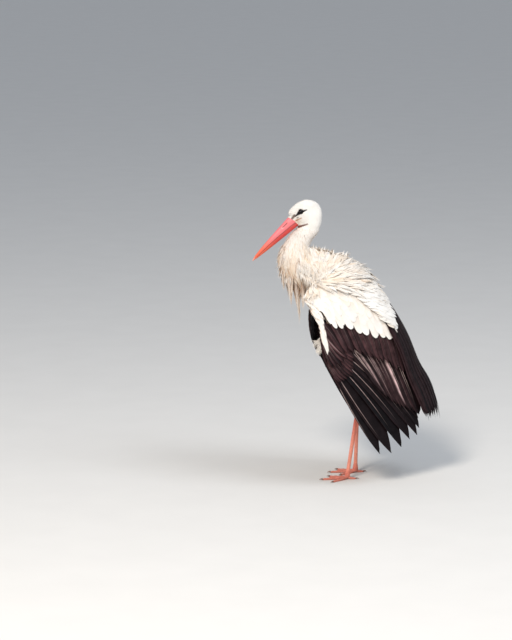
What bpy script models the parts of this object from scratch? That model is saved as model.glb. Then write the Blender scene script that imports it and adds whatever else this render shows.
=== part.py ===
"""A white stork, life size, standing with its neck drawn in and both wings drooped half open.

Units are metres. The bird faces -X, its left side is towards -Y, and it stands on z = 0.
The body is lofted through chords of its side view. The wings and back feathers are curved plates
that lie in layers on one mantle surface, which arches over the back and flares out at the sides.
"""

import math

import bmesh
import bpy
import numpy as np

GAP = 0.0004  # clearance between neighbouring solids
RING_SIDES = 16

# Chords of the side view: front x, front z, back x, back z, half width, and how far the widest
# place lies towards the back (0 is the middle).
HEAD_CHORDS = [
    (-0.1850, 0.8030, -0.1055, 0.8010, 0.0280, 0.15),
    (-0.1800, 0.8100, -0.1010, 0.8150, 0.0290, 0.22),
    (-0.1915, 0.8245, -0.0985, 0.8300, 0.0295, 0.30),
    (-0.2050, 0.8410, -0.0977, 0.8450, 0.0290, 0.36),
    (-0.2105, 0.8510, -0.0990, 0.8580, 0.0280, 0.36),
    (-0.2070, 0.8620, -0.1030, 0.8700, 0.0262, 0.30),
    (-0.1955, 0.8750, -0.1105, 0.8820, 0.0225, 0.22),
    (-0.1800, 0.8865, -0.1220, 0.8905, 0.0168, 0.12),
    (-0.1620, 0.8945, -0.1380, 0.8955, 0.0085, 0.00),
]
NECK_CHORDS = [
    (-0.1990, 0.7905, -0.1095, 0.7890, 0.0305, 0.08),
    (-0.2134, 0.7723, -0.1180, 0.7770, 0.0340, 0.05),
    (-0.2283, 0.7505, -0.1275, 0.7630, 0.0385, 0.05),
    (-0.2366, 0.7291, -0.1330, 0.7480, 0.0450, 0.05),
    (-0.2410, 0.7060, -0.1220, 0.7370, 0.0550, 0.08),
    (-0.2370, 0.6780, -0.1020, 0.7335, 0.0670, 0.12),
    (-0.2220, 0.6450, -0.0780, 0.7275, 0.0790, 0.15),
    (-0.1930, 0.6120, -0.0583, 0.7087, 0.0870, 0.18),
]
TRUNK_CHORDS = [
    (-0.1600, 0.5800, -0.0210, 0.6920, 0.0930, 0.20),
    (-0.1420, 0.5430, 0.0170, 0.6710, 0.0960, 0.20),
    (-0.1210, 0.5080, 0.0460, 0.6400, 0.0970, 0.20),
    (-0.0980, 0.4740, 0.0750, 0.6070, 0.0960, 0.18),
    (-0.0660, 0.4430, 0.1000, 0.5680, 0.0910, 0.16),
    (-0.0240, 0.4180, 0.1220, 0.5270, 0.0820, 0.12),
    (0.0200, 0.4000, 0.1390, 0.4880, 0.0690, 0.08),
    (0.0620, 0.3850, 0.1530, 0.4500, 0.0540, 0.04),
    (0.0980, 0.3670, 0.1660, 0.4160, 0.0410, 0.00),
    (0.1230, 0.3480, 0.1780, 0.3860, 0.0320, 0.00),
]

# The long breast feathers hang as one beard: z, front x, back x, half width.
BEARD_LEVELS = [
    (0.6900, -0.2415, -0.1800, 0.0400),
    (0.6500, -0.2400, -0.1700, 0.0450),
    (0.6100, -0.2290, -0.1620, 0.0430),
    (0.5700, -0.2140, -0.1560, 0.0360),
    (0.5300, -0.1970, -0.1560, 0.0250),
    (0.5050, -0.1850, -0.1600, 0.0150),
    (0.4880, -0.1760, -0.1660, 0.0060),
]
BEARD_LOCKS = 7
BEARD_LOCK_DEPTH = 0.010

EYE = (-0.1708, 0.0155, 0.8583)
EYE_RADIUS = 0.0095

BILL_BASE = (-0.1800, 0.8350)
BILL_TIP = (-0.3205, 0.7024)
BILL_UPPER_DEPTH = 0.0228
BILL_LOWER_DEPTH = 0.0205
BILL_HALF_WIDTH = 0.0135
BILL_BLUNTNESS = 0.05  # the tip's size as a share of the base's
BILL_SIDES = 12
UPWARDS, DOWNWARDS = 1, -1

# The mantle frame: P runs down the back at 45 degrees and Q from the back to the belly.
MANTLE_ORIGIN = (-0.0806, 0.7310)
MANTLE_SLOPE = math.radians(45)
ARCH_DEPTH = 0.085  # Q from the ridge to the widest place of the back's arch
ARCH_ARC = 0.155  # the same along the surface
FLARE_START = 0.06  # Q where the drooped wing starts to stand off
FLARE = 0.5
FLARE_SOFTNESS = 0.03
# P, Q of the ridge, half width of the arch
MANTLE_STATIONS = [
    (-0.05, 0.036, 0.070),
    (0.00, 0.010, 0.090),
    (0.07, -0.021, 0.108),
    (0.14, -0.035, 0.118),
    (0.25, -0.021, 0.117),
    (0.31, -0.008, 0.108),
    (0.375, 0.012, 0.095),
    (0.46, 0.048, 0.075),
    (0.53, 0.068, 0.058),
    (0.60, 0.103, 0.046),
    (0.64, 0.135, 0.040),
]

# For each side: its sign of Y, where the leg stands, and how far back the wing is held.
SIDES = {
    "left": {"sign": -1, "ankle_x": -0.0217, "heel_x": 0.0090, "wing_back": 0.0},
    "right": {"sign": 1, "ankle_x": 0.0184, "heel_x": 0.0245, "wing_back": 0.014},
}
LEG_Y = 0.045
ANKLE_Z = 0.0115
HEEL_Z = 0.222
FEATHERS_END_Z = 0.312
TIBIA_LEAN = -0.24  # x per metre of height, above the heel
TARSUS_RADIUS = 0.0060
TIBIA_RADIUS = 0.0070
HEEL_RADIUS = 0.0112
# name, heading from straight ahead in degrees (outwards is positive), length, root radius
TOES = [
    ("inner", -34, 0.062, 0.0056),
    ("middle", 3, 0.080, 0.0060),
    ("outer", 38, 0.066, 0.0057),
    ("hind", 172, 0.027, 0.0050),
]
TOE_SIDES = 8
TOE_SWELLING = 0.10
TOE_TAPER = 0.42  # how much slimmer a toe is at its end
TOE_RISE = 0.003  # how much higher a toe is where it leaves the ankle
ANKLE_RADIUS = (0.0098, 0.0090, 0.0135)
CLAW_LENGTH = 0.011
CLAW_LIFT = 0.0006  # the nails end just clear of the floor

MATERIALS = {
    "white_plumage": ((0.86, 0.80, 0.72, 1), 0.75),
    "black_plumage": ((0.030, 0.022, 0.024, 1), 0.45),
    "bill_red": ((0.80, 0.13, 0.07, 1), 0.35),
    "leg_red": ((0.72, 0.20, 0.14, 1), 0.50),
    "eye_dark": ((0.020, 0.012, 0.010, 1), 0.10),
    "claw_horn": ((0.16, 0.09, 0.07, 1), 0.40),
}


# ---------------------------------------------------------------- helpers


def clear_scene():
    for obj in list(bpy.data.objects):
        bpy.data.objects.remove(obj)


def new_collection(name):
    collection = bpy.data.collections.new(name)
    bpy.context.scene.collection.children.link(collection)
    return collection


def make_material(name):
    colour, roughness = MATERIALS[name]
    material = bpy.data.materials.new(name)
    material.use_nodes = True
    shader = material.node_tree.nodes["Principled BSDF"]
    shader.inputs["Base Color"].default_value = colour
    shader.inputs["Roughness"].default_value = roughness
    shader.inputs["Metallic"].default_value = 0.0
    return material


def smooth_rows(rows, steps):
    """Catmull-Rom rows through these rows, with this many steps in each span."""
    rows = np.array(rows, float)
    padded = np.vstack([2 * rows[0] - rows[1], rows, 2 * rows[-1] - rows[-2]])
    found = []
    for i in range(len(rows) - 1):
        a, b, c, d = padded[i : i + 4]
        for step in range(steps):
            t = step / steps
            found.append(
                0.5 * (2 * b + (c - a) * t + (2 * a - 5 * b + 4 * c - d) * t**2
                       + (3 * b - a - 3 * c + d) * t**3)
            )
    return np.array(found + [rows[-1]])


def along(rows, t):
    """The smooth curve through these rows at t from 0 to 1."""
    fine = smooth_rows(rows, 8)
    places = np.linspace(0, 1, len(fine))
    return np.array([np.interp(t, places, column) for column in fine.T])


def add_mesh(name, vertices, faces, material):
    """A named, smooth-shaded object whose faces point out."""
    mesh = bpy.data.meshes.new(name)
    shape = bmesh.new()
    points = [shape.verts.new(v) for v in vertices]
    for face in faces:
        shape.faces.new([points[i] for i in face])
    bmesh.ops.recalc_face_normals(shape, faces=shape.faces)
    shape.to_mesh(mesh)
    shape.free()
    mesh.shade_smooth()
    mesh.set_sharp_from_angle(angle=math.radians(50))
    obj = bpy.data.objects.new(name, mesh)
    obj.data.materials.append(materials[material])
    stork_parts.objects.link(obj)
    return obj


def adopt(obj):
    """Moves a new primitive into the stork's own collection."""
    for collection in list(obj.users_collection):
        collection.objects.unlink(obj)
    stork_parts.objects.link(obj)


def loft(name, rings, material):
    """A closed solid through rings of equal point counts, with flat ends."""
    sides = len(rings[0])
    faces = [list(range(sides))[::-1]]
    for i in range(len(rings) - 1):
        for k in range(sides):
            after = (k + 1) % sides
            faces.append([i * sides + k, i * sides + after,
                          (i + 1) * sides + after, (i + 1) * sides + k])
    faces.append([(len(rings) - 1) * sides + k for k in range(sides)])
    return add_mesh(name, np.concatenate(rings), faces, material)


def grown_copy(obj, gap):
    """A hidden cutter: the object's final shape, moved out by the gap."""
    graph = bpy.context.evaluated_depsgraph_get()
    mesh = bpy.data.meshes.new_from_object(obj.evaluated_get(graph))
    shape = bmesh.new()
    shape.from_mesh(mesh)
    moves = [v.normal * gap for v in shape.verts]
    for vertex, move in zip(shape.verts, moves):
        vertex.co += move
    shape.to_mesh(mesh)
    shape.free()
    cutter = bpy.data.objects.new(f"cut_{obj.name}", mesh)
    cutter.location = obj.location
    cutter.hide_render = True
    cutter.display_type = "WIRE"
    cutters.objects.link(cutter)
    return cutter


def combine(obj, other, operation):
    modifier = obj.modifiers.new(f"{operation.lower()}_{other.name}", "BOOLEAN")
    modifier.operation = operation
    modifier.object = other


def trim(obj, neighbour):
    """Cuts the object back so that it meets its neighbour across the gap."""
    combine(obj, grown_copy(neighbour, GAP), "DIFFERENCE")


def merge(obj, other):
    """Joins another solid into the object, and hides it."""
    stork_parts.objects.unlink(other)
    cutters.objects.link(other)
    other.hide_render = True
    other.display_type = "WIRE"
    combine(obj, other, "UNION")


# ---------------------------------------------------------------- body


def chord_ring(row):
    """The body's section on one chord: wider towards the back by the row's last value."""
    front, back = np.array([row[0], 0, row[1]]), np.array([row[2], 0, row[3]])
    half_width, lean = row[4], row[5]
    ring = []
    for k in range(RING_SIDES):
        angle = 2 * math.pi * k / RING_SIDES
        point = front + (back - front) * (1 - math.cos(angle)) / 2
        point[1] = half_width * math.sin(angle) * (1 - lean * math.cos(angle))
        ring.append(point)
    return ring


def moved_chord(row, distance):
    """A chord moved square to itself, towards the tail."""
    front, back = np.array(row[:2]), np.array(row[2:4])
    direction = (back - front) / np.linalg.norm(back - front)
    shift = distance * np.array([direction[1], -direction[0]])
    return (*(front + shift), *(back + shift), row[4], row[5])


def body_piece(name, chords, steps):
    return loft(name, [chord_ring(row) for row in smooth_rows(chords, steps)], "white_plumage")


def make_beard(neck, trunk):
    """The hanging breast feathers, ending in locks."""
    rings = []
    levels = BEARD_LEVELS
    for i, (z, front, back, half_width) in enumerate(levels):
        share = i / (len(levels) - 1)
        ring = []
        for k in range(RING_SIDES):
            angle = 2 * math.pi * k / RING_SIDES
            ripple = share * math.cos(BEARD_LOCKS * angle)
            x = (front + back) / 2 - (back - front) / 2 * math.cos(angle) * (1 + 0.10 * ripple)
            y = half_width * math.sin(angle) * (1 + 0.10 * ripple)
            ring.append((x, y, z - BEARD_LOCK_DEPTH * ripple * share))
        rings.append(ring)
    beard = loft("beard", rings, "white_plumage")
    trim(beard, neck)
    trim(beard, trunk)


def make_eye(name, side, head):
    bpy.ops.mesh.primitive_uv_sphere_add(
        segments=12, ring_count=8, radius=EYE_RADIUS, location=(EYE[0], side * EYE[1], EYE[2])
    )
    eye = bpy.context.object
    eye.name = name
    eye.data.shade_smooth()
    eye.data.materials.append(materials["eye_dark"])
    adopt(eye)
    trim(head, eye)


def make_mandible(name, depth, fullness, direction, head):
    """One half of the bill: flat where the two halves close, and arched on its other side."""
    base, tip = np.array(BILL_BASE), np.array(BILL_TIP)
    axis = (tip - base) / np.linalg.norm(tip - base)
    square = np.array([axis[1], -axis[0]]) * direction
    rings = []
    for share in (0.0, 0.12, 0.25, 0.42, 0.60, 0.76, 0.88, 0.95, 0.985, 1.0):
        taper = 0.94 * (1 - share) ** fullness + 0.06 * math.sqrt(1 - share**8)
        taper = max(taper, BILL_BLUNTNESS)
        centre = base + (tip - base) * share + square * GAP / 2
        ring = []
        for k in range(BILL_SIDES):
            angle = math.pi * k / (BILL_SIDES - 1)
            x, z = centre + square * depth * taper * math.sin(angle)
            ring.append((x, BILL_HALF_WIDTH * taper * math.cos(angle), z))
        rings.append(ring)
    mandible = loft(name, rings, "bill_red")
    trim(mandible, head)


# ---------------------------------------------------------------- mantle surface


def mantle_station(p):
    rows = fine_mantle
    return np.interp(p, rows[:, 0], rows[:, 1]), np.interp(p, rows[:, 0], rows[:, 2])


def arc_of(p, q):
    """The distance from the ridge, along the surface, of a place given by P and Q."""
    depth = max(0.0, q - mantle_station(p)[0])
    if depth >= ARCH_DEPTH:
        return ARCH_ARC + depth - ARCH_DEPTH
    return ARCH_ARC * math.acos(1 - depth / ARCH_DEPTH) / (math.pi / 2)


def mantle_point(p, arc):
    """A place on the right half of the mantle surface, at this P and distance from the ridge."""
    ridge, half_width = mantle_station(p)
    turn = min(arc / ARCH_ARC, 1.0) * math.pi / 2
    q = ridge + ARCH_DEPTH * (1 - math.cos(turn)) + max(0.0, arc - ARCH_ARC)
    over = (q - FLARE_START) / FLARE_SOFTNESS
    flare = FLARE * FLARE_SOFTNESS * math.log1p(math.exp(min(over, 30.0)))
    y = half_width * math.sin(turn) + flare * math.sin(turn)
    cos_slope, sin_slope = math.cos(MANTLE_SLOPE), math.sin(MANTLE_SLOPE)
    x = MANTLE_ORIGIN[0] + p * cos_slope - q * sin_slope
    z = MANTLE_ORIGIN[1] - p * sin_slope - q * cos_slope
    return np.array([x, y, z])


def mantle_place(p, arc, lift, side):
    """The surface point moved out along its normal by lift, on this side of the bird."""
    step = 0.002
    down = mantle_point(p + step, arc) - mantle_point(p - step, arc)
    round_ = mantle_point(p, arc + step) - mantle_point(p, max(0.0, arc - step))
    normal = np.cross(down, round_)
    normal /= np.linalg.norm(normal)
    if normal[1] < 0:
        normal = -normal
    place = mantle_point(p, arc) + normal * lift
    place[0] += side["wing_back"] * min(arc / ARCH_ARC, 1.0) ** 2
    place[1] = max(place[1], GAP / 2) * side["sign"]
    return place


# Each plate: P and Q of its roots and of its outline from its first to its last feather, the number
# of feathers and of columns in each, the notch between two tips as a share of their length, its
# outer lift and thickness, its rows of faces, and its material.
PLATES = {
    "scapulars": {
        "roots": [(0.036, -0.030), (0.012, 0.050), (0.024, 0.088)],
        "tips": [(0.262, -0.060), (0.340, 0.030), (0.395, 0.062)],
        "feathers": 5, "columns": 2, "notch": 0.05, "lift": 0.0115, "thick": 0.0060, "rows": 5,
        "material": "white_plumage",
    },
    "tertials": {
        "roots": [(0.150, -0.060), (0.160, 0.000), (0.170, 0.030)],
        "tips": [(0.622, 0.060), (0.612, 0.134), (0.585, 0.157)],
        "feathers": 5, "columns": 2, "notch": 0.07, "lift": 0.0050, "thick": 0.0055, "rows": 6,
        "material": "black_plumage",
    },
    "coverts": {
        "roots": [(0.060, 0.045), (0.018, 0.090), (0.019, 0.150), (0.070, 0.172), (0.118, 0.186)],
        "tips": [(0.440, 0.090), (0.370, 0.113), (0.300, 0.147), (0.262, 0.170), (0.220, 0.205)],
        "feathers": 8, "columns": 2, "notch": 0.04, "lift": -0.0020, "thick": 0.0050, "rows": 5,
        "material": "white_plumage",
    },
    "hand": {
        "roots": [(0.118, 0.150), (0.118, 0.184), (0.150, 0.214), (0.183, 0.236)],
        "tips": [(0.275, 0.190), (0.318, 0.216), (0.322, 0.240), (0.300, 0.274)],
        "feathers": 5, "columns": 2, "notch": 0.08, "lift": -0.0080, "thick": 0.0048, "rows": 4,
        "material": "black_plumage",
    },
    "secondaries": {
        "roots": [(0.220, 0.030), (0.180, 0.090), (0.150, 0.140), (0.140, 0.185)],
        "tips": [(0.585, 0.150), (0.535, 0.168), (0.490, 0.178), (0.450, 0.190)],
        "feathers": 8, "columns": 2, "notch": 0.06, "lift": -0.0138, "thick": 0.0038, "rows": 6,
        "material": "black_plumage",
    },
    "primaries": {
        "roots": [(0.180, 0.150), (0.170, 0.190), (0.200, 0.225), (0.250, 0.262)],
        "tips": [(0.550, 0.166), (0.575, 0.178), (0.604, 0.190), (0.602, 0.216),
                 (0.594, 0.254), (0.583, 0.295), (0.556, 0.328), (0.534, 0.349)],
        "feathers": 7, "columns": 4, "notch": 0.14, "lift": -0.0192, "thick": 0.0036, "rows": 6,
        "material": "black_plumage",
    },
}


def tip_reach(place_in_feather, notch):
    """How far out the edge reaches across one feather: 1 at its middle, less at its sides."""
    off = abs(place_in_feather - 0.5) * 2
    return 1 - notch * off**2.2


def make_plate(group, side_name):
    """A layer of feathers as one curved plate, its edge notched between the tips."""
    spec = PLATES[group]
    side = SIDES[side_name]
    columns = spec["feathers"] * spec["columns"] + 1
    rows = spec["rows"]
    outer, inner = [], []
    for c in range(columns):
        s = c / (columns - 1)
        root, tip = along(spec["roots"], s), along(spec["tips"], s)
        start = np.array([root[0], arc_of(*root)])
        end = np.array([tip[0], arc_of(*tip)])
        inside = (c % spec["columns"]) / spec["columns"]
        at_rim = c in (0, columns - 1)
        reach = 1 - spec["notch"] * 0.6 if at_rim else tip_reach(inside, spec["notch"])
        for r in range(rows + 1):
            t = r / rows
            p, arc = start + (end - start) * t * reach
            thickness = spec["thick"] * (1 - 0.6 * t)
            outer.append(mantle_place(p, arc, spec["lift"], side))
            inner.append(mantle_place(p, arc, spec["lift"] - thickness, side))
    count, high = columns * (rows + 1), rows + 1
    faces = []
    for c in range(columns - 1):
        for r in range(rows):
            a, b = c * high + r, (c + 1) * high + r
            faces.append([a, b, b + 1, a + 1])
            faces.append([count + a, count + a + 1, count + b + 1, count + b])
        for r in (0, rows):
            a, b = c * high + r, (c + 1) * high + r
            faces.append([a, count + a, count + b, b] if r == 0 else [a, b, count + b, count + a])
    for r in range(rows):
        a, b = r, (columns - 1) * high + r
        faces.append([a, a + 1, count + a + 1, count + a])
        faces.append([b, count + b, count + b + 1, b + 1])
    return add_mesh(f"{group}_{side_name}", outer + inner, faces, spec["material"])


# Lines of P, Q, radius and depth under the mantle surface.
WING_EDGE = [(0.060, 0.070, 0.0100, 0.0075), (0.034, 0.105, 0.0105, 0.0075),
             (0.036, 0.140, 0.0105, 0.0078), (0.080, 0.166, 0.0105, 0.0130),
             (0.128, 0.180, 0.0105, 0.0250), (0.150, 0.202, 0.0085, 0.0250),
             (0.200, 0.230, 0.0070, 0.0250), (0.258, 0.252, 0.0050, 0.0250)]
FOREARM = [(0.235, 0.050, 0.0105, 0.0250), (0.215, 0.090, 0.0115, 0.0250),
           (0.165, 0.150, 0.0110, 0.0250), (0.130, 0.178, 0.0100, 0.0250)]


def wing_limb(name, line, side):
    """A tapered limb under the mantle surface."""
    rows = [(p, arc_of(p, q), radius, depth) for p, q, radius, depth in line]
    fine = smooth_rows(rows, 2)
    centres = [mantle_place(p, arc, -(depth + radius), side) for p, arc, radius, depth in fine]
    return tube(name, centres, fine[:, 2], 8, "white_plumage")


def make_arm(side_name, trunk):
    """The leading edge from the shoulder over the wrist to the hand, and the forearm."""
    side = SIDES[side_name]
    arm = wing_limb(f"arm_{side_name}", WING_EDGE, side)
    merge(arm, wing_limb(f"forearm_{side_name}", FOREARM, side))
    trim(arm, trunk)


def tube(name, centres, radii, sides, material):
    """A round limb along these centres."""
    centres = np.array(centres)
    rings = []
    reference = np.array([0.0, 1.0, 0.0])
    for i, (centre, radius) in enumerate(zip(centres, radii)):
        tangent = centres[min(i + 1, len(centres) - 1)] - centres[max(i - 1, 0)]
        tangent /= np.linalg.norm(tangent)
        first = reference - tangent * (reference @ tangent)
        first /= np.linalg.norm(first)
        second = np.cross(tangent, first)
        turns = [2 * math.pi * k / sides for k in range(sides)]
        rings.append([centre + radius * (first * math.cos(a) + second * math.sin(a)) for a in turns])
    return loft(name, rings, material)


TAIL_ROOT = (0.156, 0.366)
TAIL_TIP = (0.243, 0.240)
TAIL_HALF_WIDTHS = (0.028, 0.047)
TAIL_THICKNESS = 0.006
TAIL_DROOP = 0.010  # how much lower the outer feathers lie
TAIL_FEATHERS = 6
TAIL_COLUMNS = 2  # in each feather


def make_tail(trunk):
    """The closed tail: a shallow arched fan with a notched, rounded end."""
    root, tip = np.array(TAIL_ROOT), np.array(TAIL_TIP)
    axis = (tip - root) / np.linalg.norm(tip - root)
    up = np.array([-axis[1], axis[0]])
    columns, rows = TAIL_FEATHERS * TAIL_COLUMNS, 3
    rings = []
    for r in range(rows + 1):
        t = r / rows
        half_width = TAIL_HALF_WIDTHS[0] * (1 - t) + TAIL_HALF_WIDTHS[1] * t
        top, bottom = [], []
        for c in range(columns + 1):
            s = 2 * c / columns - 1
            inside = (c % TAIL_COLUMNS) / TAIL_COLUMNS
            reach = tip_reach(inside, 0.05) - 0.10 * s * s
            place = root + (tip - root) * t * (reach if r else 1) - up * TAIL_DROOP * s * s
            thick = TAIL_THICKNESS * (1 - 0.5 * t) * (1 - 0.5 * s * s)
            high, low = place + up * thick / 2, place - up * thick / 2
            top.append((high[0], half_width * s, high[1]))
            bottom.append((low[0], half_width * s, low[1]))
        rings.append(top + bottom[::-1])
    tail = loft("tail", rings, "white_plumage")
    trim(tail, trunk)


# ---------------------------------------------------------------- legs


def leg_centre(leg, z):
    """The leg's middle line: the shin leans forward above the heel, the tarsus runs to the foot."""
    if z > HEEL_Z:
        return leg["heel_x"] + TIBIA_LEAN * (z - HEEL_Z)
    share = (z - ANKLE_Z) / (HEEL_Z - ANKLE_Z)
    return leg["ankle_x"] + (leg["heel_x"] - leg["ankle_x"]) * share


def make_thigh(side_name, trunk):
    """The feathered shin, a soft cone from the belly down to the bare leg."""
    leg = SIDES[side_name]
    levels = [(0.470, 0.046, 0.036), (0.430, 0.046, 0.036), (0.395, 0.040, 0.033),
              (0.362, 0.029, 0.026), (0.335, 0.0185, 0.018), (FEATHERS_END_Z, 0.0105, 0.0105)]
    rings = []
    for z, half_length, half_width in smooth_rows(levels, 2):
        x, y = leg_centre(leg, z), leg["sign"] * LEG_Y
        turns = [2 * math.pi * k / 10 for k in range(10)]
        rings.append([(x + half_length * math.cos(a), y + half_width * math.sin(a), z) for a in turns])
    thigh = loft(f"thigh_{side_name}", rings, "white_plumage")
    trim(thigh, trunk)


def shank_radius(z):
    """Bare leg: slim shafts with a knob at the heel and a flare to the foot."""
    knob = (HEEL_RADIUS - TIBIA_RADIUS) * math.exp(-((z - HEEL_Z) / 0.014) ** 2)
    shaft = TIBIA_RADIUS if z > HEEL_Z else TARSUS_RADIUS
    flare = 0.0022 * math.exp(-((z - ANKLE_Z) / 0.020) ** 2)
    return shaft + knob + flare


def make_shank(side_name, foot):
    leg = SIDES[side_name]
    levels = np.concatenate([
        np.linspace(FEATHERS_END_Z - GAP, HEEL_Z + 0.028, 2),
        np.linspace(HEEL_Z + 0.018, HEEL_Z - 0.018, 6),
        np.linspace(HEEL_Z - 0.030, ANKLE_Z + 0.035, 3),
        np.linspace(ANKLE_Z + 0.022, ANKLE_Z, 3),
    ])
    rings = []
    for z in levels:
        radius = shank_radius(z)
        turns = [2 * math.pi * k / 8 for k in range(8)]
        x, y = leg_centre(leg, z), leg["sign"] * LEG_Y
        rings.append([(x + radius * math.cos(a), y + 0.88 * radius * math.sin(a), z) for a in turns])
    shank = loft(f"shank_{side_name}", rings, "leg_red")
    trim(shank, foot)


def toe_rings(start, heading, length, root_radius):
    """A toe with swollen joints, flat on the floor below."""
    forward = np.array([math.cos(heading), math.sin(heading)])
    across = np.array([-forward[1], forward[0]])
    turns = [2 * math.pi * (k + 0.5) / TOE_SIDES for k in range(TOE_SIDES)]
    rings = []
    for share in (0.0, 0.22, 0.42, 0.62, 0.82, 1.0):
        joint = TOE_SWELLING * math.cos(6 * math.pi * share)
        radius = root_radius * (1 - TOE_TAPER * share) * (1 + joint)
        centre = np.array(start) + forward * length * share
        height = radius * 0.75 + TOE_RISE * (1 - share) ** 4
        ring = []
        for turn in turns:
            x, y = centre + across * radius * math.cos(turn)
            ring.append((x, y, max(0.0, height + radius * math.sin(turn))))
        rings.append(ring)
    return rings


def toe_heading(leg, degrees):
    """The bird faces -X, and outwards is away from the body's middle."""
    return math.pi - leg["sign"] * math.radians(degrees)


def make_foot(side_name):
    """The ankle, a ball that is flat below, with its four toes."""
    leg = SIDES[side_name]
    x, y = leg["ankle_x"], leg["sign"] * LEG_Y
    bpy.ops.mesh.primitive_uv_sphere_add(segments=12, ring_count=6, radius=1.0)
    foot = bpy.context.object
    foot.name = f"foot_{side_name}"
    for vertex in foot.data.vertices:
        along_x, along_y, along_z = (part * radius for part, radius in zip(vertex.co, ANKLE_RADIUS))
        vertex.co = (x + along_x, y + along_y, max(0.0, ANKLE_Z + along_z))
    foot.data.shade_smooth()
    foot.data.materials.append(materials["leg_red"])
    adopt(foot)
    for name, degrees, length, radius in TOES:
        rings = toe_rings((x, y), toe_heading(leg, degrees), length, radius)
        merge(foot, loft(f"toe_{name}_{side_name}", rings, "leg_red"))
    return foot


def make_claws(side_name):
    """Short flat nails, each just past the end of its toe."""
    leg = SIDES[side_name]
    for name, degrees, length, root_radius in TOES:
        heading = toe_heading(leg, degrees)
        forward = np.array([math.cos(heading), math.sin(heading)])
        across = np.array([-forward[1], forward[0]])
        toe_end = np.array([leg["ankle_x"], leg["sign"] * LEG_Y]) + forward * (length + GAP)
        rings = []
        for share in (0.0, 0.5, 1.0):
            radius = root_radius * 0.56 * (1 - 0.80 * share)
            centre = toe_end + forward * CLAW_LENGTH * share
            turns = [2 * math.pi * k / 6 for k in range(6)]
            rings.append([
                (*(centre + across * radius * math.cos(a)), CLAW_LIFT + radius * (0.8 + 0.8 * math.sin(a)))
                for a in turns
            ])
        loft(f"claw_{name}_{side_name}", rings, "claw_horn")


# ---------------------------------------------------------------- assembly


def make_body():
    head = body_piece("head", HEAD_CHORDS, 2)
    neck = body_piece("neck", [moved_chord(HEAD_CHORDS[0], GAP), *NECK_CHORDS], 2)
    trunk = body_piece("trunk", [moved_chord(NECK_CHORDS[-1], GAP), *TRUNK_CHORDS], 2)
    make_eye("eye_left", -1, head)
    make_eye("eye_right", 1, head)
    make_mandible("bill_upper", BILL_UPPER_DEPTH, 0.58, UPWARDS, head)
    make_mandible("bill_lower", BILL_LOWER_DEPTH, 0.80, DOWNWARDS, head)
    make_beard(neck, trunk)
    make_tail(trunk)
    return trunk


def make_side(side_name, trunk):
    for group in PLATES:
        make_plate(group, side_name)
    make_arm(side_name, trunk)
    make_thigh(side_name, trunk)
    foot = make_foot(side_name)
    make_shank(side_name, foot)
    make_claws(side_name)


def centre_on_floor():
    """Parents all to one empty and moves it, so that the origin is below the middle of the box."""
    bpy.context.view_layer.update()
    corners = np.array([
        obj.matrix_world @ vertex.co for obj in stork_parts.objects for vertex in obj.data.vertices
    ])
    middle = (corners.min(axis=0) + corners.max(axis=0)) / 2
    stand = bpy.data.objects.new("stork", None)
    stork_parts.objects.link(stand)
    for obj in list(stork_parts.objects) + list(cutters.objects):
        if obj is not stand:
            obj.parent = stand
    stand.location = (-middle[0], 0.0, -corners.min(axis=0)[2])


clear_scene()
stork_parts = new_collection("white_stork")
cutters = new_collection("cutters")
materials = {name: make_material(name) for name in MATERIALS}
fine_mantle = smooth_rows(MANTLE_STATIONS, 6)
stork_trunk = make_body()
for name_of_side in SIDES:
    make_side(name_of_side, stork_trunk)
centre_on_floor()
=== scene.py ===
import math

import bmesh
import bpy
import numpy as np
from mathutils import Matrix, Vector
from mathutils.bvhtree import BVHTree


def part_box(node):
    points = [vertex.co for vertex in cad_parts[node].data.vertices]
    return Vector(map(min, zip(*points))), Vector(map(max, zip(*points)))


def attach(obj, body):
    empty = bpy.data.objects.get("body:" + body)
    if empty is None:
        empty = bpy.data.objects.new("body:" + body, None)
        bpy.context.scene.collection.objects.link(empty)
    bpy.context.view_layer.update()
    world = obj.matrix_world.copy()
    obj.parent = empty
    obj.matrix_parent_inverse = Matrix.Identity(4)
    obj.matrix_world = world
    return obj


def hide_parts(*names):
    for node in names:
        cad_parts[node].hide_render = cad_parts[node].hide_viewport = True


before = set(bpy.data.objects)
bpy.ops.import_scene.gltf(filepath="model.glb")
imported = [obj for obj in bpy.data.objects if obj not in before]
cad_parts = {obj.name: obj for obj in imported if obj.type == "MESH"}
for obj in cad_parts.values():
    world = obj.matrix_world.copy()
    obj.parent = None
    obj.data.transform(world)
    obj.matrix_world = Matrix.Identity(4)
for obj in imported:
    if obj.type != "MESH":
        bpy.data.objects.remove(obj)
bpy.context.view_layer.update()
rng = np.random.default_rng(2100)

# The bird is laid out in its own frame: it faces -X, its left side is -Y, and z = 0 is the floor.
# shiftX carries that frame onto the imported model.
bird = {"eye": (-0.1708, 0.0155, 0.8583)}
eyeLow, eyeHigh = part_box("eye_left")
shiftX = (eyeLow[0] + eyeHigh[0]) / 2 - bird["eye"][0]


def smoothRows(rows, steps):  # Catmull-Rom rows through these rows
    rows = np.array(rows, float)
    padded = np.vstack([2 * rows[0] - rows[1], rows, 2 * rows[-1] - rows[-2]])
    t = (np.arange(steps) / steps)[:, None]
    found = []
    for i in range(len(rows) - 1):
        a, b, c, d = padded[i:i + 4]
        found.append(0.5 * (2 * b + (c - a) * t + (2 * a - 5 * b + 4 * c - d) * t**2
                            + (3 * b - a - 3 * c + d) * t**3))
    return np.vstack(found + [rows[-1:]])


def rowAt(table, t):  # rows of a fine table at t from 0 to 1, for an array of t
    place = np.clip(np.asarray(t, float), 0, 1) * (len(table) - 1)
    i = np.minimum(place.astype(int), len(table) - 2)
    part = (place - i)[..., None]
    return table[i] * (1 - part) + table[i + 1] * part


def unit(v):
    return v / np.maximum(np.linalg.norm(v, axis=-1, keepdims=True), 1e-9)


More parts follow.
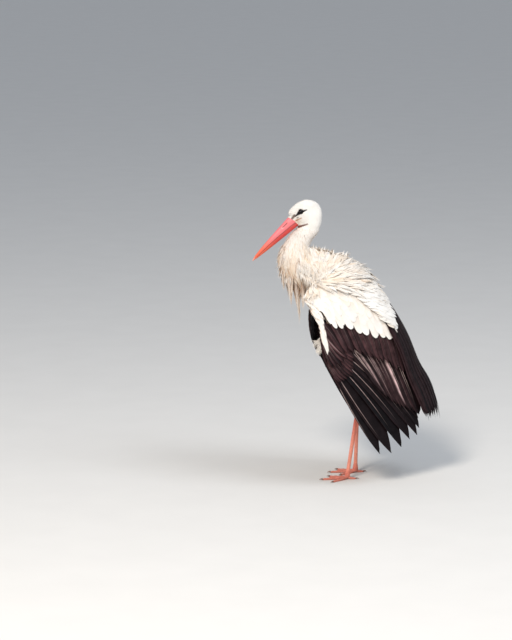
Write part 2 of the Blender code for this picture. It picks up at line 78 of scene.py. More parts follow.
def dot(a, b):
    return (a * b).sum(axis=-1, keepdims=True)


def ramp(x, low, high):  # smooth step from 0 at low to 1 at high
    t = np.clip((x - low) / (high - low), 0, 1)
    return t * t * (3 - 2 * t)


def mix(a, b, t):
    return np.asarray(a, float) * (1 - t) + np.asarray(b, float) * t


def joined(*values):  # these values side by side, as points or places in a map
    return np.stack(np.broadcast_arrays(*values), axis=-1)


def fullTurn(sides):
    return np.linspace(0, 2 * math.pi, sides, endpoint=False)[None, :]


def paint(mesh, tint):  # the colour of each vertex, which all the looks read
    rgba = np.ones((len(mesh.vertices), 4), np.float32)
    rgba[:, :3] = tint
    mesh.attributes.new("plume", "FLOAT_COLOR", "POINT").data.foreach_set("color", rgba.ravel())


def fillMesh(name, points, quads, tint, bake=None, vane=None):
    mesh = bpy.data.meshes.new(name)
    points = np.asarray(points, float).reshape(-1, 3) + [shiftX, 0, 0]
    quads = np.asarray(quads, np.int32).reshape(-1, 4)
    mesh.vertices.add(len(points))
    mesh.vertices.foreach_set("co", points.astype(np.float32).ravel())
    mesh.loops.add(quads.size)
    mesh.loops.foreach_set("vertex_index", quads.ravel())
    mesh.polygons.add(len(quads))
    mesh.polygons.foreach_set("loop_start", np.arange(0, quads.size, 4, dtype=np.int32))
    mesh.update(calc_edges=True)
    paint(mesh, tint.reshape(-1, 3))
    for mapName, values in (("OFBake", bake), ("vane", vane)):
        if values is not None:
            layer = mesh.uv_layers.new(name=mapName)
            corners = np.asarray(values, np.float32).reshape(-1, 2)[quads.ravel()]
            layer.data.foreach_set("uv", corners.ravel())
    mesh.shade_smooth()
    return mesh


def addPiece(name, mesh, material, nodes=()):
    obj = bpy.data.objects.new(name, mesh)
    bpy.context.scene.collection.objects.link(obj)
    mesh.materials.append(material)
    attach(obj, "root")
    if nodes:
        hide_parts(*nodes)
    return obj


def gridQuads(rows, columns, closed=False):  # quads of a grid stored row by row
    across = columns if closed else columns - 1
    r, c = np.meshgrid(np.arange(rows - 1), np.arange(across), indexing="ij")
    after = (c + 1) % columns
    return np.stack([r * columns + c, r * columns + after,
                     (r + 1) * columns + after, (r + 1) * columns + c], axis=-1).reshape(-1, 4)


# Body shape, as chords of the side view from crown to tail:
# front x, front z, back x, back z, half width, how far the widest place lies towards the back

bodyShape = {
    "chords": [
        (-0.1512, 0.8968, -0.1488, 0.8968, 0.0010, 0.00),
        (-0.1620, 0.8945, -0.1380, 0.8955, 0.0085, 0.00),
        (-0.1800, 0.8865, -0.1220, 0.8905, 0.0168, 0.12),
        (-0.1955, 0.8750, -0.1105, 0.8820, 0.0225, 0.22),
        (-0.2070, 0.8620, -0.1030, 0.8700, 0.0262, 0.30),
        (-0.2105, 0.8510, -0.0990, 0.8580, 0.0280, 0.36),
        (-0.2050, 0.8410, -0.0977, 0.8450, 0.0290, 0.36),
        (-0.1915, 0.8245, -0.0985, 0.8300, 0.0295, 0.30),
        (-0.1800, 0.8100, -0.1010, 0.8150, 0.0290, 0.22),
        (-0.1850, 0.8030, -0.1055, 0.8010, 0.0280, 0.15),
        (-0.1990, 0.7905, -0.1095, 0.7890, 0.0305, 0.08),
        (-0.2134, 0.7723, -0.1180, 0.7770, 0.0340, 0.05),
        (-0.2283, 0.7505, -0.1275, 0.7630, 0.0385, 0.05),
        (-0.2366, 0.7291, -0.1330, 0.7480, 0.0450, 0.05),
        (-0.2410, 0.7060, -0.1220, 0.7370, 0.0550, 0.08),
        (-0.2370, 0.6780, -0.1020, 0.7335, 0.0670, 0.12),
        (-0.2220, 0.6450, -0.0780, 0.7275, 0.0790, 0.15),
        (-0.1930, 0.6120, -0.0583, 0.7087, 0.0870, 0.18),
        (-0.1600, 0.5800, -0.0210, 0.6920, 0.0930, 0.20),
        (-0.1420, 0.5430, 0.0170, 0.6710, 0.0960, 0.20),
        (-0.1210, 0.5080, 0.0460, 0.6400, 0.0970, 0.20),
        (-0.0980, 0.4740, 0.0750, 0.6070, 0.0960, 0.18),
        (-0.0660, 0.4430, 0.1000, 0.5680, 0.0910, 0.16),
        (-0.0240, 0.4180, 0.1220, 0.5270, 0.0820, 0.12),
        (0.0200, 0.4000, 0.1390, 0.4880, 0.0690, 0.08),
        (0.0620, 0.3850, 0.1530, 0.4500, 0.0540, 0.04),
        (0.0980, 0.3670, 0.1660, 0.4160, 0.0410, 0.00),
        (0.1230, 0.3480, 0.1780, 0.3860, 0.0320, 0.00),
    ],
    "steps": 6, "sides": 64,
}
bodyTable = smoothRows(bodyShape["chords"], bodyShape["steps"])


def coatDepth(z):  # how far the skin lies under the outline of the coat
    return 0.0034 + 0.0043 * ramp(-z, -0.80, -0.74)


def bodyRings():
    turn = fullTurn(bodyShape["sides"])
    row = bodyTable[:, None, :]
    share = (1 - np.cos(turn)) / 2
    x = row[..., 0] + (row[..., 2] - row[..., 0]) * share
    z = row[..., 1] + (row[..., 3] - row[..., 1]) * share
    y = row[..., 4] * np.sin(turn) * (1 - row[..., 5] * np.cos(turn))
    grid = joined(x, y, z)
    around = np.roll(grid, -1, axis=1) - np.roll(grid, 1, axis=1)
    normal = unit(np.cross(around, np.gradient(grid, axis=0)))
    centre = grid.mean(axis=1, keepdims=True)
    normal *= np.where(dot(normal, grid - centre).mean() < 0, -1, 1)
    return grid - normal * coatDepth(grid[..., 2:3])


# The mantle is the surface in which the back's and the wings' feathers lie. P runs down the back at
# 45 degrees from the origin, and arc is the distance round from the ridge.

mantle = {
    "origin": (-0.0806, 0.7310), "archDepth": 0.085, "archArc": 0.155,
    "flareStart": 0.06, "flare": 0.5, "flareSoftness": 0.03,
    "stations": [  # P, ridge, half width
        (-0.05, 0.036, 0.070), (0.00, 0.010, 0.090), (0.07, -0.021, 0.108), (0.14, -0.035, 0.118),
        (0.25, -0.021, 0.117), (0.31, -0.008, 0.108), (0.375, 0.012, 0.095), (0.46, 0.048, 0.075),
        (0.53, 0.068, 0.058), (0.60, 0.103, 0.046), (0.64, 0.135, 0.040),
    ],
}
mantleTable = smoothRows(mantle["stations"], 6)
sides = {"left": {"sign": -1, "wingBack": 0.0}, "right": {"sign": 1, "wingBack": 0.014}}


def depthOf(p, arc):  # Q of a place given as P and arc
    ridge = np.interp(p, mantleTable[:, 0], mantleTable[:, 1])
    turn = np.minimum(arc / mantle["archArc"], 1.0) * math.pi / 2
    return ridge + mantle["archDepth"] * (1 - np.cos(turn)) + np.maximum(0, arc - mantle["archArc"])


def arcOf(p, q):  # arc of a place given as P and Q
    deep = np.maximum(0, q - np.interp(p, mantleTable[:, 0], mantleTable[:, 1]))
    inside = np.arccos(1 - np.minimum(deep / mantle["archDepth"], 1)) / (math.pi / 2)
    return np.where(deep < mantle["archDepth"], inside * mantle["archArc"],
                    mantle["archArc"] + deep - mantle["archDepth"])


def mantlePoint(p, arc):
    halfWidth = np.interp(p, mantleTable[:, 0], mantleTable[:, 2])
    turn = np.minimum(arc / mantle["archArc"], 1.0) * math.pi / 2
    q = depthOf(p, arc)
    over = np.minimum((q - mantle["flareStart"]) / mantle["flareSoftness"], 30)
    flare = mantle["flare"] * mantle["flareSoftness"] * np.log1p(np.exp(over))
    y = (halfWidth + flare) * np.sin(turn)
    half = math.sqrt(0.5)
    x = mantle["origin"][0] + (p - q) * half
    z = mantle["origin"][1] - (p + q) * half
    return joined(x, y, z)


def mantleFrame(p, arc, side):  # place, normal, and the directions of growing P and arc
    step = 0.002
    place = mantlePoint(p, arc)
    down = unit(mantlePoint(p + step, arc) - mantlePoint(p - step, arc))
    around = unit(mantlePoint(p, arc + step) - mantlePoint(p, np.maximum(0, arc - step)))
    normal = unit(np.cross(down, around))
    normal *= np.where(normal[..., 1:2] < 0, -1, 1)
    flip = np.array([1, side["sign"], 1])
    held = side["wingBack"] * np.minimum(arc / mantle["archArc"], 1.0) ** 2
    place = place * flip
    place[..., 0] += held
    return place, normal * flip, down * flip, around * flip


colours = {
    "white": (0.87, 0.835, 0.785), "cream": (0.85, 0.71, 0.56), "buff": (0.62, 0.40, 0.26),
    "rootShade": (0.60, 0.43, 0.32), "black": (0.0050, 0.0034, 0.0040),
    "plumSheen": (0.058, 0.026, 0.027), "tealSheen": (0.0070, 0.0070, 0.0080),
    "silver": (0.42, 0.28, 0.27), "shaft": (0.42, 0.31, 0.28),
    "mask": (0.008, 0.006, 0.006), "lore": (0.15, 0.092, 0.062),
    "gapeAndCheekShadow": (0.17, 0.055, 0.034), "rust": (0.46, 0.17, 0.06),
    "legRed": (0.80, 0.200, 0.140), "legSunlit": (0.95, 0.38, 0.27), "footBrown": (0.62, 0.27, 0.20),
    "clawRoot": (0.16, 0.075, 0.055), "clawTip": (0.36, 0.22, 0.16),
}


def setNode(tree, node, values):  # a value is a setting, a socket's number, or what to link to it
    for key, value in values.items():
        if isinstance(key, str) and hasattr(node, key):
            setattr(node, key, value)
            continue
        socket = node.inputs[key.replace("_", " ") if isinstance(key, str) else key]
        if isinstance(value, bpy.types.Node):
            value = value.outputs[0]
        if isinstance(value, bpy.types.NodeSocket):
            tree.links.new(value, socket)
        else:
            socket.default_value = value


def addNode(tree, kind, *first, **values):  # first holds what goes to its first sockets
    node = tree.nodes.new("ShaderNode" + kind)
    setNode(tree, node, {**dict(enumerate(first)), **values})
    return node


def newMaterial(name, roughness, **values):
    material = bpy.data.materials.new(name)
    material.use_nodes = True
    shader = material.node_tree.nodes["Principled BSDF"]
    setNode(material.node_tree, shader, {"Roughness": roughness, **values})
    return material, material.node_tree, shader


def dress(tree, shader, level, relief, strength, depth):
    # the piece's painted colour, which on many pieces holds painted shade, light and sheen, made
    # lighter and darker by level, and a fine relief
    tint = addNode(tree, "Attribute", attribute_name="plume")
    shaded = addNode(tree, "VectorMath", tint, operation="SCALE", Scale=level)
    bump = addNode(tree, "Bump", Strength=strength, Distance=depth, Height=relief)
    setNode(tree, shader, {"Base Color": shaded, "Normal": bump})


def alongVane(tree, scale):  # the feather's or horn's own map, stretched along it
    return addNode(tree, "Mapping", addNode(tree, "UVMap", uv_map="vane"), Scale=scale)


def featherMaterial(name, roughness, barbs, blotch, **values):  # barbs and soft blotches
    material, tree, shader = newMaterial(name, roughness, **values)
    strands = addNode(tree, "TexNoise", alongVane(tree, barbs["scale"]),
                      Scale=1.0, Detail=3.0, Roughness=0.6)
    place = addNode(tree, "TexCoord").outputs["Object"]
    cloud = addNode(tree, "TexNoise", place, Scale=blotch["scale"], Detail=4.0)
    both = addNode(tree, "Math", strands, barbs["contrast"], cloud, operation="MULTIPLY_ADD")
    level = addNode(tree, "MapRange", both, From_Min=0.5 * barbs["contrast"] + 0.2,
                    From_Max=0.5 * barbs["contrast"] + 0.8,
                    To_Min=blotch["low"], To_Max=blotch["high"])
    dress(tree, shader, level, strands, barbs["bump"], 0.0006)
    return material


def skinMaterial():  # bare skin with fine folds and scaly cells
    material, tree, shader = newMaterial("bare skin", 0.5, Specular_IOR_Level=0.2)
    place = addNode(tree, "TexCoord").outputs["Object"]
    cells = addNode(tree, "TexVoronoi", place, feature="DISTANCE_TO_EDGE", Scale=330.0)
    # painted shade: the skin is darker along the creases between its cells, which also give its
    # relief
    crease = addNode(tree, "MapRange", cells, From_Max=0.12, To_Min=0.62, To_Max=1.0)
    cloud = addNode(tree, "TexNoise", place, Scale=38.0, Detail=5.0)
    wear = addNode(tree, "MapRange", cloud, To_Min=0.78, To_Max=1.22)
    level = addNode(tree, "Math", crease, wear, operation="MULTIPLY")
    dress(tree, shader, level, crease, 0.5, 0.0008)
    return material


def hornMaterial(name, roughness, streak, coat):  # long faint streaks and a waxy gloss
    material, tree, shader = newMaterial(name, roughness, Specular_IOR_Level=0.5,
                                         Coat_Weight=coat, Coat_Roughness=0.25)
    grain = addNode(tree, "TexNoise", alongVane(tree, streak), Scale=1.0, Detail=5.0)
    level = addNode(tree, "MapRange", grain, To_Min=0.72, To_Max=1.28)
    dress(tree, shader, level, grain, 0.25, 0.0005)
    return material


def eyeMaterial():
    material, tree, shader = newMaterial("wet eye", 0.10, Specular_IOR_Level=0.14,
                                         Coat_Weight=0.20, Coat_Roughness=0.02)
    setNode(tree, shader, {"Base Color": addNode(tree, "Attribute", attribute_name="plume")})
    return material


whiteFeather = featherMaterial(
    "soft white feather", 0.8, {"scale": (900, 60, 1), "contrast": 0.8, "bump": 0.35},
    {"scale": 30.0, "low": 0.88, "high": 1.06}, Specular_IOR_Level=0.2,
)
blackFeather = featherMaterial(
    "silky black feather", 0.46, {"scale": (700, 30, 1), "contrast": 1.2, "bump": 0.5},
    {"scale": 45.0, "low": 0.55, "high": 1.55}, Specular_IOR_Level=0.08,
)
skinLook = skinMaterial()
hornLook = hornMaterial("bill horn", 0.38, (300, 14, 1), 0.25)
clawLook = hornMaterial("claw horn", 0.45, (400, 30, 1), 0.10)
eyeLook = eyeMaterial()
print("looks made")


legs = {
    "left": {"sign": -1, "ankleX": -0.0217, "heelX": 0.0090},
    "right": {"sign": 1, "ankleX": 0.0184, "heelX": 0.0245},
}
legShape = {
    "y": 0.045, "ankleZ": 0.0115, "heelZ": 0.222, "topZ": 0.372, "lean": -0.24,
    "tarsus": 0.0060, "tibia": 0.0070, "heel": 0.0112, "grid": (150, 28),
    "toes": [("inner", -34, 0.062, 0.0056), ("middle", 3, 0.080, 0.0060),
             ("outer", 38, 0.066, 0.0057), ("hind", 172, 0.027, 0.0050)],
    "toeGrid": (44, 16), "clawLength": 0.0115, "clawGrid": (14, 12),
    # height, radius fore and aft, radius across
    "thigh": [(0.470, 0.046, 0.036), (0.430, 0.046, 0.036), (0.395, 0.040, 0.033),
              (0.362, 0.029, 0.026), (0.335, 0.0185, 0.018), (0.312, 0.0105, 0.0105)],
    "thighCoat": 0.005,
}


def legCentre(leg, z):
    above = leg["heelX"] + legShape["lean"] * (z - legShape["heelZ"])
    share = (z - legShape["ankleZ"]) / (legShape["heelZ"] - legShape["ankleZ"])
    below = leg["ankleX"] + (leg["heelX"] - leg["ankleX"]) * share
    return np.where(z > legShape["heelZ"], above, below)


def toeHeading(leg, degrees):
    heading = math.pi - leg["sign"] * math.radians(degrees)
    return np.array([math.cos(heading), math.sin(heading)])


def legMesh(leg):  # the bare leg with its scale rows and knobbed heel, and four padded toes
    rings, sides = legShape["grid"]
    z = np.linspace(legShape["topZ"], 0.004, rings)[:, None]
    turn = fullTurn(sides)
    shaft = mix(legShape["tarsus"], legShape["tibia"], ramp(z, 0.20, 0.25))
    knob = (legShape["heel"] - legShape["tibia"]) * np.exp(-((z - legShape["heelZ"]) / 0.014) ** 2)
    foot = 0.0030 * np.exp(-((z - legShape["ankleZ"]) / 0.014) ** 2)
    scales = 0.00022 * np.cos(z * 2 * math.pi / 0.0058) * ramp(np.cos(turn - math.pi), 0.2, 0.8)
    hollow = -0.0006 * np.exp(-((z - 0.205) / 0.012) ** 2) * np.cos(turn) ** 2
    radius = shaft + knob + foot + scales + hollow
    radius = radius * np.where(z < 0.010, np.clip(0.55 + z / 0.022, 0, 1), 1)
    x = legCentre(leg, z) + radius * np.cos(turn)
    y = leg["sign"] * legShape["y"] + 0.88 * radius * np.sin(turn)
    points = [joined(x, y, z).reshape(-1, 3)]
    quads = [gridQuads(rings, sides, True)]
    count = len(points[0])
    rings, sides = legShape["toeGrid"]
    turn = fullTurn(sides)
    share = np.linspace(-0.03, 1.0, rings)[:, None]
    for _, degrees, length, root in legShape["toes"]:
        forward = toeHeading(leg, degrees)
        pads = 0.07 * np.cos(6 * math.pi * share)
        pads = pads + 0.020 * np.cos(2 * math.pi * share * length / 0.0042)
        size = root * (1 - 0.42 * np.clip(share, 0, 1)) * (1 + pads)
        size = size * np.sqrt(np.clip((1.012 - share) / 0.05, 0.02, 1))
        height = size * 0.78 + 0.004 * (1 - np.clip(share, 0, 1)) ** 4
        aside = size * np.cos(turn)
        x = leg["ankleX"] + forward[0] * length * share - forward[1] * aside
        y = leg["sign"] * legShape["y"] + forward[1] * length * share + forward[0] * aside
        z = np.maximum(0.0, height + size * np.sin(turn))
        points.append(joined(x, y, z).reshape(-1, 3))
        quads.append(gridQuads(rings, sides, True) + count)
        count += len(points[-1])
    return np.vstack(points), np.vstack(quads)


def thighRings(leg):  # the flesh under the feathered shin
    levels = smoothRows(legShape["thigh"], 4)
    turn = fullTurn(legShape["grid"][1])
    z = levels[:, 0:1]
    fit = np.maximum(levels[:, 1:3] - legShape["thighCoat"], 0.0075)
    x = legCentre(leg, z) + fit[:, 0:1] * np.cos(turn)
    y = leg["sign"] * legShape["y"] + fit[:, 1:2] * np.sin(turn)
    return joined(x, y, z)


def closedLoft(rings):  # points and faces of a loft with flat ends, as lists
    rows, columns = rings.shape[:2]
    faces = gridQuads(rows, columns, True).tolist()
    faces.append(list(range(columns))[::-1])
    faces.append([(rows - 1) * columns + k for k in range(columns)])
    return rings.reshape(-1, 3), faces


# Wing limbs, as lines of P, arc, radius, depth under the mantle

wingLimbs = {
    "edge": [(0.060, 0.113, 0.0085, 0.0090), (0.034, 0.168, 0.0090, 0.0090),
             (0.036, 0.198, 0.0090, 0.0093), (0.076, 0.243, 0.0090, 0.0145),
             (0.120, 0.262, 0.0090, 0.0250), (0.150, 0.293, 0.0070, 0.0260),
             (0.200, 0.330, 0.0058, 0.0260), (0.258, 0.342, 0.0040, 0.0260)],
    "forearm": [(0.235, 0.130, 0.0090, 0.0260), (0.215, 0.178, 0.0100, 0.0260),
                (0.165, 0.252, 0.0095, 0.0260), (0.130, 0.279, 0.0085, 0.0260)],
}


def limbRings(line, side):
    rows = smoothRows(line, 6)
    place, normal, _, _ = mantleFrame(rows[:, 0], rows[:, 1], side)
    centre = place - normal * (rows[:, 2] + rows[:, 3])[:, None]
    tangent = unit(np.gradient(centre, axis=0))
    first = unit(normal - tangent * dot(tangent, normal))
    second = np.cross(tangent, first)
    turn = fullTurn(20)[..., None]
    ring = first[:, None] * np.cos(turn) + second[:, None] * np.sin(turn)
    return centre[:, None, :] + rows[:, 2][:, None, None] * ring


# Places on the bill: how far along it from its base, and how high over its middle line

billShape = {
    "base": (-0.1800, 0.8350), "tip": (-0.3205, 0.7024), "halfWidth": 0.0135, "bluntness": 0.08,
    "upper": (0.0228, 0.60), "lower": (0.0205, 0.80),  # depth at the base, how fast it tapers
    "bend": ([0.0, 0.09, 0.16, 0.31, 0.46, 0.62, 0.78, 1.0],
             [-0.0072, -0.0052, -0.0034, -0.0014, 0.0004, 0.0010, 0.0008, 0.0]),
    "grid": (90, 26), "nostril": (0.165, 0.275, 0.0125),
    "featherEdge": ([-0.0210, -0.0180, -0.0110, -0.0050, 0.0, 0.0123, 0.0170, 0.0232],
                    [0.0190, 0.0130, 0.0120, 0.0130, 0.0115, 0.0150, 0.0165, 0.0205]),
    # painted light: the upper bill's red is paler, as if sunlit; the lower keeps the bill's own red
    "upperSunlitRed": (0.77, 0.175, 0.185), "lowerRed": (0.66, 0.050, 0.045),
    "tipOrange": (0.78, 0.135, 0.065), "tipHorn": (0.78, 0.36, 0.28),
    "seamShade": (0.30, 0.025, 0.020), "slitShade": (0.10, 0.02, 0.015),
}
billBase, billTip = np.array(billShape["base"]), np.array(billShape["tip"])
billLength = np.linalg.norm(billTip - billBase)
billAxis = (billTip - billBase) / billLength
billUp = np.array([billAxis[1], -billAxis[0]])


def onBill(x, z):  # how far along the bill, and how high
    return ((x - billBase[0]) * billAxis[0] + (z - billBase[1]) * billAxis[1],
            (x - billBase[0]) * billUp[0] + (z - billBase[1]) * billUp[1])


# Bare places of the face in the side view, as capsules from one place to another with two radii

face = {
    "mask": [((-0.1861, 0.8436), (-0.1780, 0.8522), 0.0010, 0.0046),
             ((-0.1780, 0.8522), (-0.1704, 0.8588), 0.0048, 0.0080),
             ((-0.1704, 0.8588), (-0.1600, 0.8618), 0.0076, 0.0030),
             ((-0.1600, 0.8618), (-0.1510, 0.8656), 0.0030, 0.0006)],
    "lore": [((-0.1975, 0.8350), (-0.1890, 0.8455), 0.0022, 0.0034),
             ((-0.1805, 0.8396), (-0.1775, 0.8408), 0.0008, 0.0003)],
    "rust": [((-0.1840, 0.8306), (-0.1690, 0.8383), 0.0012, 0.0006)],
    # partly the bare gape at the mouth's corner, partly a painted shadow under the edge of the
    # cheek feathers
    "gapeAndCheekShadow": [((-0.1870, 0.8035), (-0.1733, 0.8103), 0.0046, 0.0034),
             ((-0.1733, 0.8103), (-0.1490, 0.8203), 0.0034, 0.0012)],
    "lidRadius": 0.0064, "lidHeight": 0.0019, "crownShade": 0.09,
}


def capsule(x, z, shapes):  # signed distance to the nearest of these capsules, below 0 inside
    best = np.full(np.shape(x), 1.0)
    for (ax, az), (bx, bz), ra, rb in shapes:
        dx, dz = bx - ax, bz - az
        t = np.clip(((x - ax) * dx + (z - az) * dz) / (dx * dx + dz * dz), 0, 1)
        gap = np.hypot(x - ax - t * dx, z - az - t * dz) - (ra + (rb - ra) * t)
        best = np.minimum(best, gap)
    return best


def nearEye(edge, reach):
    x, y, z = edge.verts[0].co
    return (Vector((x, abs(y), z)) - Vector(bird["eye"])).length < reach


def makeSkin():  # one closed skin over trunk, neck, head, thighs and wing limbs
    parts = [closedLoft(bodyRings())]
    for name, leg in legs.items():
        parts.append(closedLoft(thighRings(leg)))
        for line in wingLimbs.values():
            parts.append(closedLoft(limbRings(line, sides[name])))
    mesh = bpy.data.meshes.new("flesh")
    points, faces = [], []
    for partPoints, partFaces in parts:
        faces.extend([[i + len(points) for i in f] for f in partFaces])
        points.extend(map(tuple, partPoints))
    mesh.from_pydata(points, [], faces)
    shape = bmesh.new()
    shape.from_mesh(mesh)
    bmesh.ops.recalc_face_normals(shape, faces=shape.faces)
    shape.to_mesh(mesh)
    shape.free()
    flesh = bpy.data.objects.new("flesh", mesh)
    bpy.context.scene.collection.objects.link(flesh)
    remesh = flesh.modifiers.new("one skin", "REMESH")
    remesh.mode = "VOXEL"
    remesh.voxel_size = 0.0026
    soft = flesh.modifiers.new("soft", "SMOOTH")
    soft.iterations = 4
    graph = bpy.context.evaluated_depsgraph_get()
    found = bpy.data.meshes.new_from_object(flesh.evaluated_get(graph))
    bpy.data.objects.remove(flesh)
    shape = bmesh.new()
    shape.from_mesh(found)
    for reach in (0.026, 0.017):  # finer round the eyes, for the lids
        near = [e for e in shape.edges if nearEye(e, reach)]
        bmesh.ops.subdivide_edges(shape, edges=near, cuts=1, use_grid_fill=True)
    bmesh.ops.triangulate(shape, faces=shape.faces)
    shape.normal_update()
    points = np.array([v.co for v in shape.verts])
    triangles = np.array([[v.index for v in f.verts] for f in shape.faces], np.int32)
    shape.free()
    return points, triangles


def shapeLids(points):  # a rim round each eye, a fold outside it, and the skin sunk behind the ball
    x, y, z = points.T
    r = np.hypot(x - bird["eye"][0], (z - bird["eye"][2]) * 1.12)
    rim = face["lidHeight"] * np.exp(-((r - face["lidRadius"]) / 0.0013) ** 2)
    fold = -0.0008 * np.exp(-((r - face["lidRadius"] - 0.0034) / 0.0010) ** 2)
    brow = 0.0012 * np.exp(-(((x + 0.172) / 0.012) ** 2 + ((z - 0.8700) / 0.0035) ** 2))
    sunk = -0.0050 * ramp(-r, -face["lidRadius"] + 0.0004, -face["lidRadius"] + 0.0020)
    move = np.where((np.abs(y) > 0.009) & (r < 0.03), rim + fold + brow + sunk, 0.0)
    return points + joined(0, np.sign(y) * move, 0)


skinPoints, skinTriangles = makeSkin()
skinPoints = shapeLids(skinPoints)
fleshTree = BVHTree.FromPolygons(skinPoints.tolist(), skinTriangles.tolist())
print("skin shaped:", len(skinTriangles), "triangles")


def onHand(points):  # the black part of the wing's leading edge, beyond the wrist
    dx, dz = points[:, 0] - mantle["origin"][0], points[:, 2] - mantle["origin"][1]
    p, q = (dx - dz) * math.sqrt(0.5), -(dx + dz) * math.sqrt(0.5)
    return ramp(p, 0.085, 0.100) * ramp(q, 0.142, 0.156) * ramp(np.abs(points[:, 1]), 0.085, 0.095)


def skinColours(points):
    x, _, z = points.T
    tint = np.tile(np.array(colours["white"]) * 0.8, (len(points), 1))
    marked = tint
    for spot, soft, hard in (("gapeAndCheekShadow", 0.0010, 0.0006), ("lore", 0.0015, 0.0015),
                             ("mask", 0.0006, 0.0006)):
        share = ramp(-capsule(x, z, face[spot]), -soft, hard)[:, None]
        marked = mix(marked, colours[spot], share)
    tint = np.where((z > 0.795)[:, None], marked, tint)
    return mix(tint, colours["black"], onHand(points)[:, None])


def legColours(z):
    red = np.tile(colours["legRed"], (len(z), 1))
    # painted shade: darker round the heel, in the wing's shadow
    red = mix(red, red * 0.72, 0.8 * np.exp(-((z - legShape["heelZ"]) / 0.02) ** 2))
    # painted light: the lower legs are paler, where the sun reaches them below the wing's shadow
    red = mix(red, colours["legSunlit"], 0.75 * ramp(-z, -0.21, -0.08) * ramp(z, 0.015, 0.04))
    return mix(red, colours["footBrown"], 0.5 * ramp(-z, -0.03, -0.004))


def finishSkin():  # the skin with both bare legs, in one piece
    points, faces, tint = [skinPoints], skinTriangles.tolist(), [skinColours(skinPoints)]
    count = len(skinPoints)
    for leg in legs.values():
        legPoints, legQuads = legMesh(leg)
        points.append(legPoints)
        faces += (legQuads + count).tolist()
        tint.append(legColours(legPoints[:, 2:3]))
        count += len(legPoints)
    mesh = bpy.data.meshes.new("skin")
    mesh.from_pydata((np.vstack(points) + [shiftX, 0, 0]).tolist(), [], faces)
    paint(mesh, np.vstack(tint))
    mesh.shade_smooth()
    nodes = ["head", "neck", "trunk"]
    for name in legs:
        nodes += [f"{part}_{name}" for part in ("arm", "thigh", "shank", "foot")]
    addPiece("skin", mesh, skinLook, nodes)


finishSkin()
print("skin finished")


def billHalf(share, turn, shape, direction):  # height and width of a half bill at these places
    taper = 0.94 * (1 - share) ** shape[1] + 0.06 * np.sqrt(1 - share**8)
    taper = np.maximum(taper, billShape["bluntness"]) * np.clip((1.0 - share) / 0.012, 0, 1) ** 0.5
    bend = np.interp(share, *billShape["bend"])
    rise = (shape[0] * taper - bend * direction) * np.sin(turn) ** (0.86 if direction > 0 else 1.05)
    wide = 0.94 * (1 - share) ** 0.78 + 0.06 * np.sqrt(1 - share**8)
    across = billShape["halfWidth"] * wide * np.cos(turn) * (1 - 0.10 * np.sin(turn) ** 2)
    return rise + bend * direction, across * (1 + 0.035 * np.cos(turn * 2)), taper


def makeBill(name, shape, direction, red):
    rows, columns = billShape["grid"]
    share = 1 - (1 - np.linspace(0, 1, rows)[:, None]) ** 1.25
    turn = np.linspace(0, math.pi, columns)[None, :]
    rise, across, taper = billHalf(share, turn, shape, direction)
    over = rise - np.interp(share, *billShape["bend"]) * direction  # height over the closing line
    slit = np.zeros_like(rise)
    if direction > 0:  # a long shallow groove, with the nostril slit in it
        start, end, high = billShape["nostril"]
        off = (rise - high - 0.0010 * np.sin(share * 20)) / 0.0013
        slit = np.exp(-off**2) * ramp(share, start - 0.012, start + 0.012)
        slit = slit * ramp(-share, -end - 0.012, -end + 0.012) * (np.abs(np.cos(turn)) > 0.2)
        groove = np.exp(-((rise - 0.55 * shape[0] * taper) / 0.0022) ** 2)
        groove = groove * ramp(-share, -0.62, -0.1)
        across = across * (1 - 0.22 * slit) * (1 - 0.05 * groove)
    centre = billBase + (billTip - billBase) * share + billUp * direction * 0.0002
    x = centre[:, 0:1] + billUp[0] * direction * rise
    z = centre[:, 1:2] + billUp[1] * direction * rise
    tint = mix(np.tile(np.array(red), (rows, columns, 1)), billShape["tipOrange"],
               ramp(share, 0.40, 0.85)[..., None])
    tint = mix(tint, billShape["tipHorn"], ramp(share, 0.90, 1.0)[..., None])
    # painted shade: darker along the closing line, where the two halves of the bill meet
    edge = ramp(-over, -0.0015, -0.0002)[..., None] * ramp(-share, -0.97, -0.8)[..., None]
    tint = mix(tint, billShape["seamShade"], 0.75 * edge)
    # painted shade in the nostril slit
    tint = mix(tint, billShape["slitShade"], 0.85 * slit[..., None])
    r = np.arange(rows - 1) * columns
    flatSide = joined(r, r + columns, r + 2 * columns - 1, r + columns - 1)  # where it closes
    quads = np.vstack([gridQuads(rows, columns), flatSide])
    vane = joined(rise * 2 + across, share * billLength)
    mesh = fillMesh(name, joined(x, across, z), quads, tint, vane=vane)
    addPiece(name, mesh, hornLook, [name])


makeBill("bill_upper", billShape["upper"], 1, billShape["upperSunlitRed"])
makeBill("bill_lower", billShape["lower"], -1, billShape["lowerRed"])

eyeShape = {"radius": 0.0084, "depth": 0.0152, "pupil": 0.42, "iris": 0.74, "grid": (36, 40),
            "irisBrown": (0.012, 0.005, 0.003), "black": (0.002, 0.002, 0.002)}


def makeEye(name, sign):
    rows, columns = eyeShape["grid"]
    turn = fullTurn(columns)
    tilt = np.linspace(0.0, math.pi, rows)[:, None]
    radius = eyeShape["radius"] * (1 + 0.05 * np.exp(-(tilt / 0.5) ** 2))  # the cornea stands out
    side = radius * np.sin(tilt)
    points = joined(side * np.cos(turn), sign * radius * np.cos(tilt), side * np.sin(turn))
    points = points + [bird["eye"][0], sign * eyeShape["depth"], bird["eye"][2]]
    iris = mix(eyeShape["black"], eyeShape["irisBrown"],
               ramp(tilt, eyeShape["pupil"] - 0.05, eyeShape["pupil"] + 0.05)[..., None])
    outside = ramp(tilt, eyeShape["iris"] - 0.06, eyeShape["iris"])[..., None]
    tint = np.broadcast_to(mix(iris, eyeShape["black"], outside), points.shape)
    mesh = fillMesh(name, points, gridQuads(rows, columns, True), tint)
    addPiece(name, mesh, eyeLook, [name])


makeEye("eye_left", -1)
makeEye("eye_right", 1)


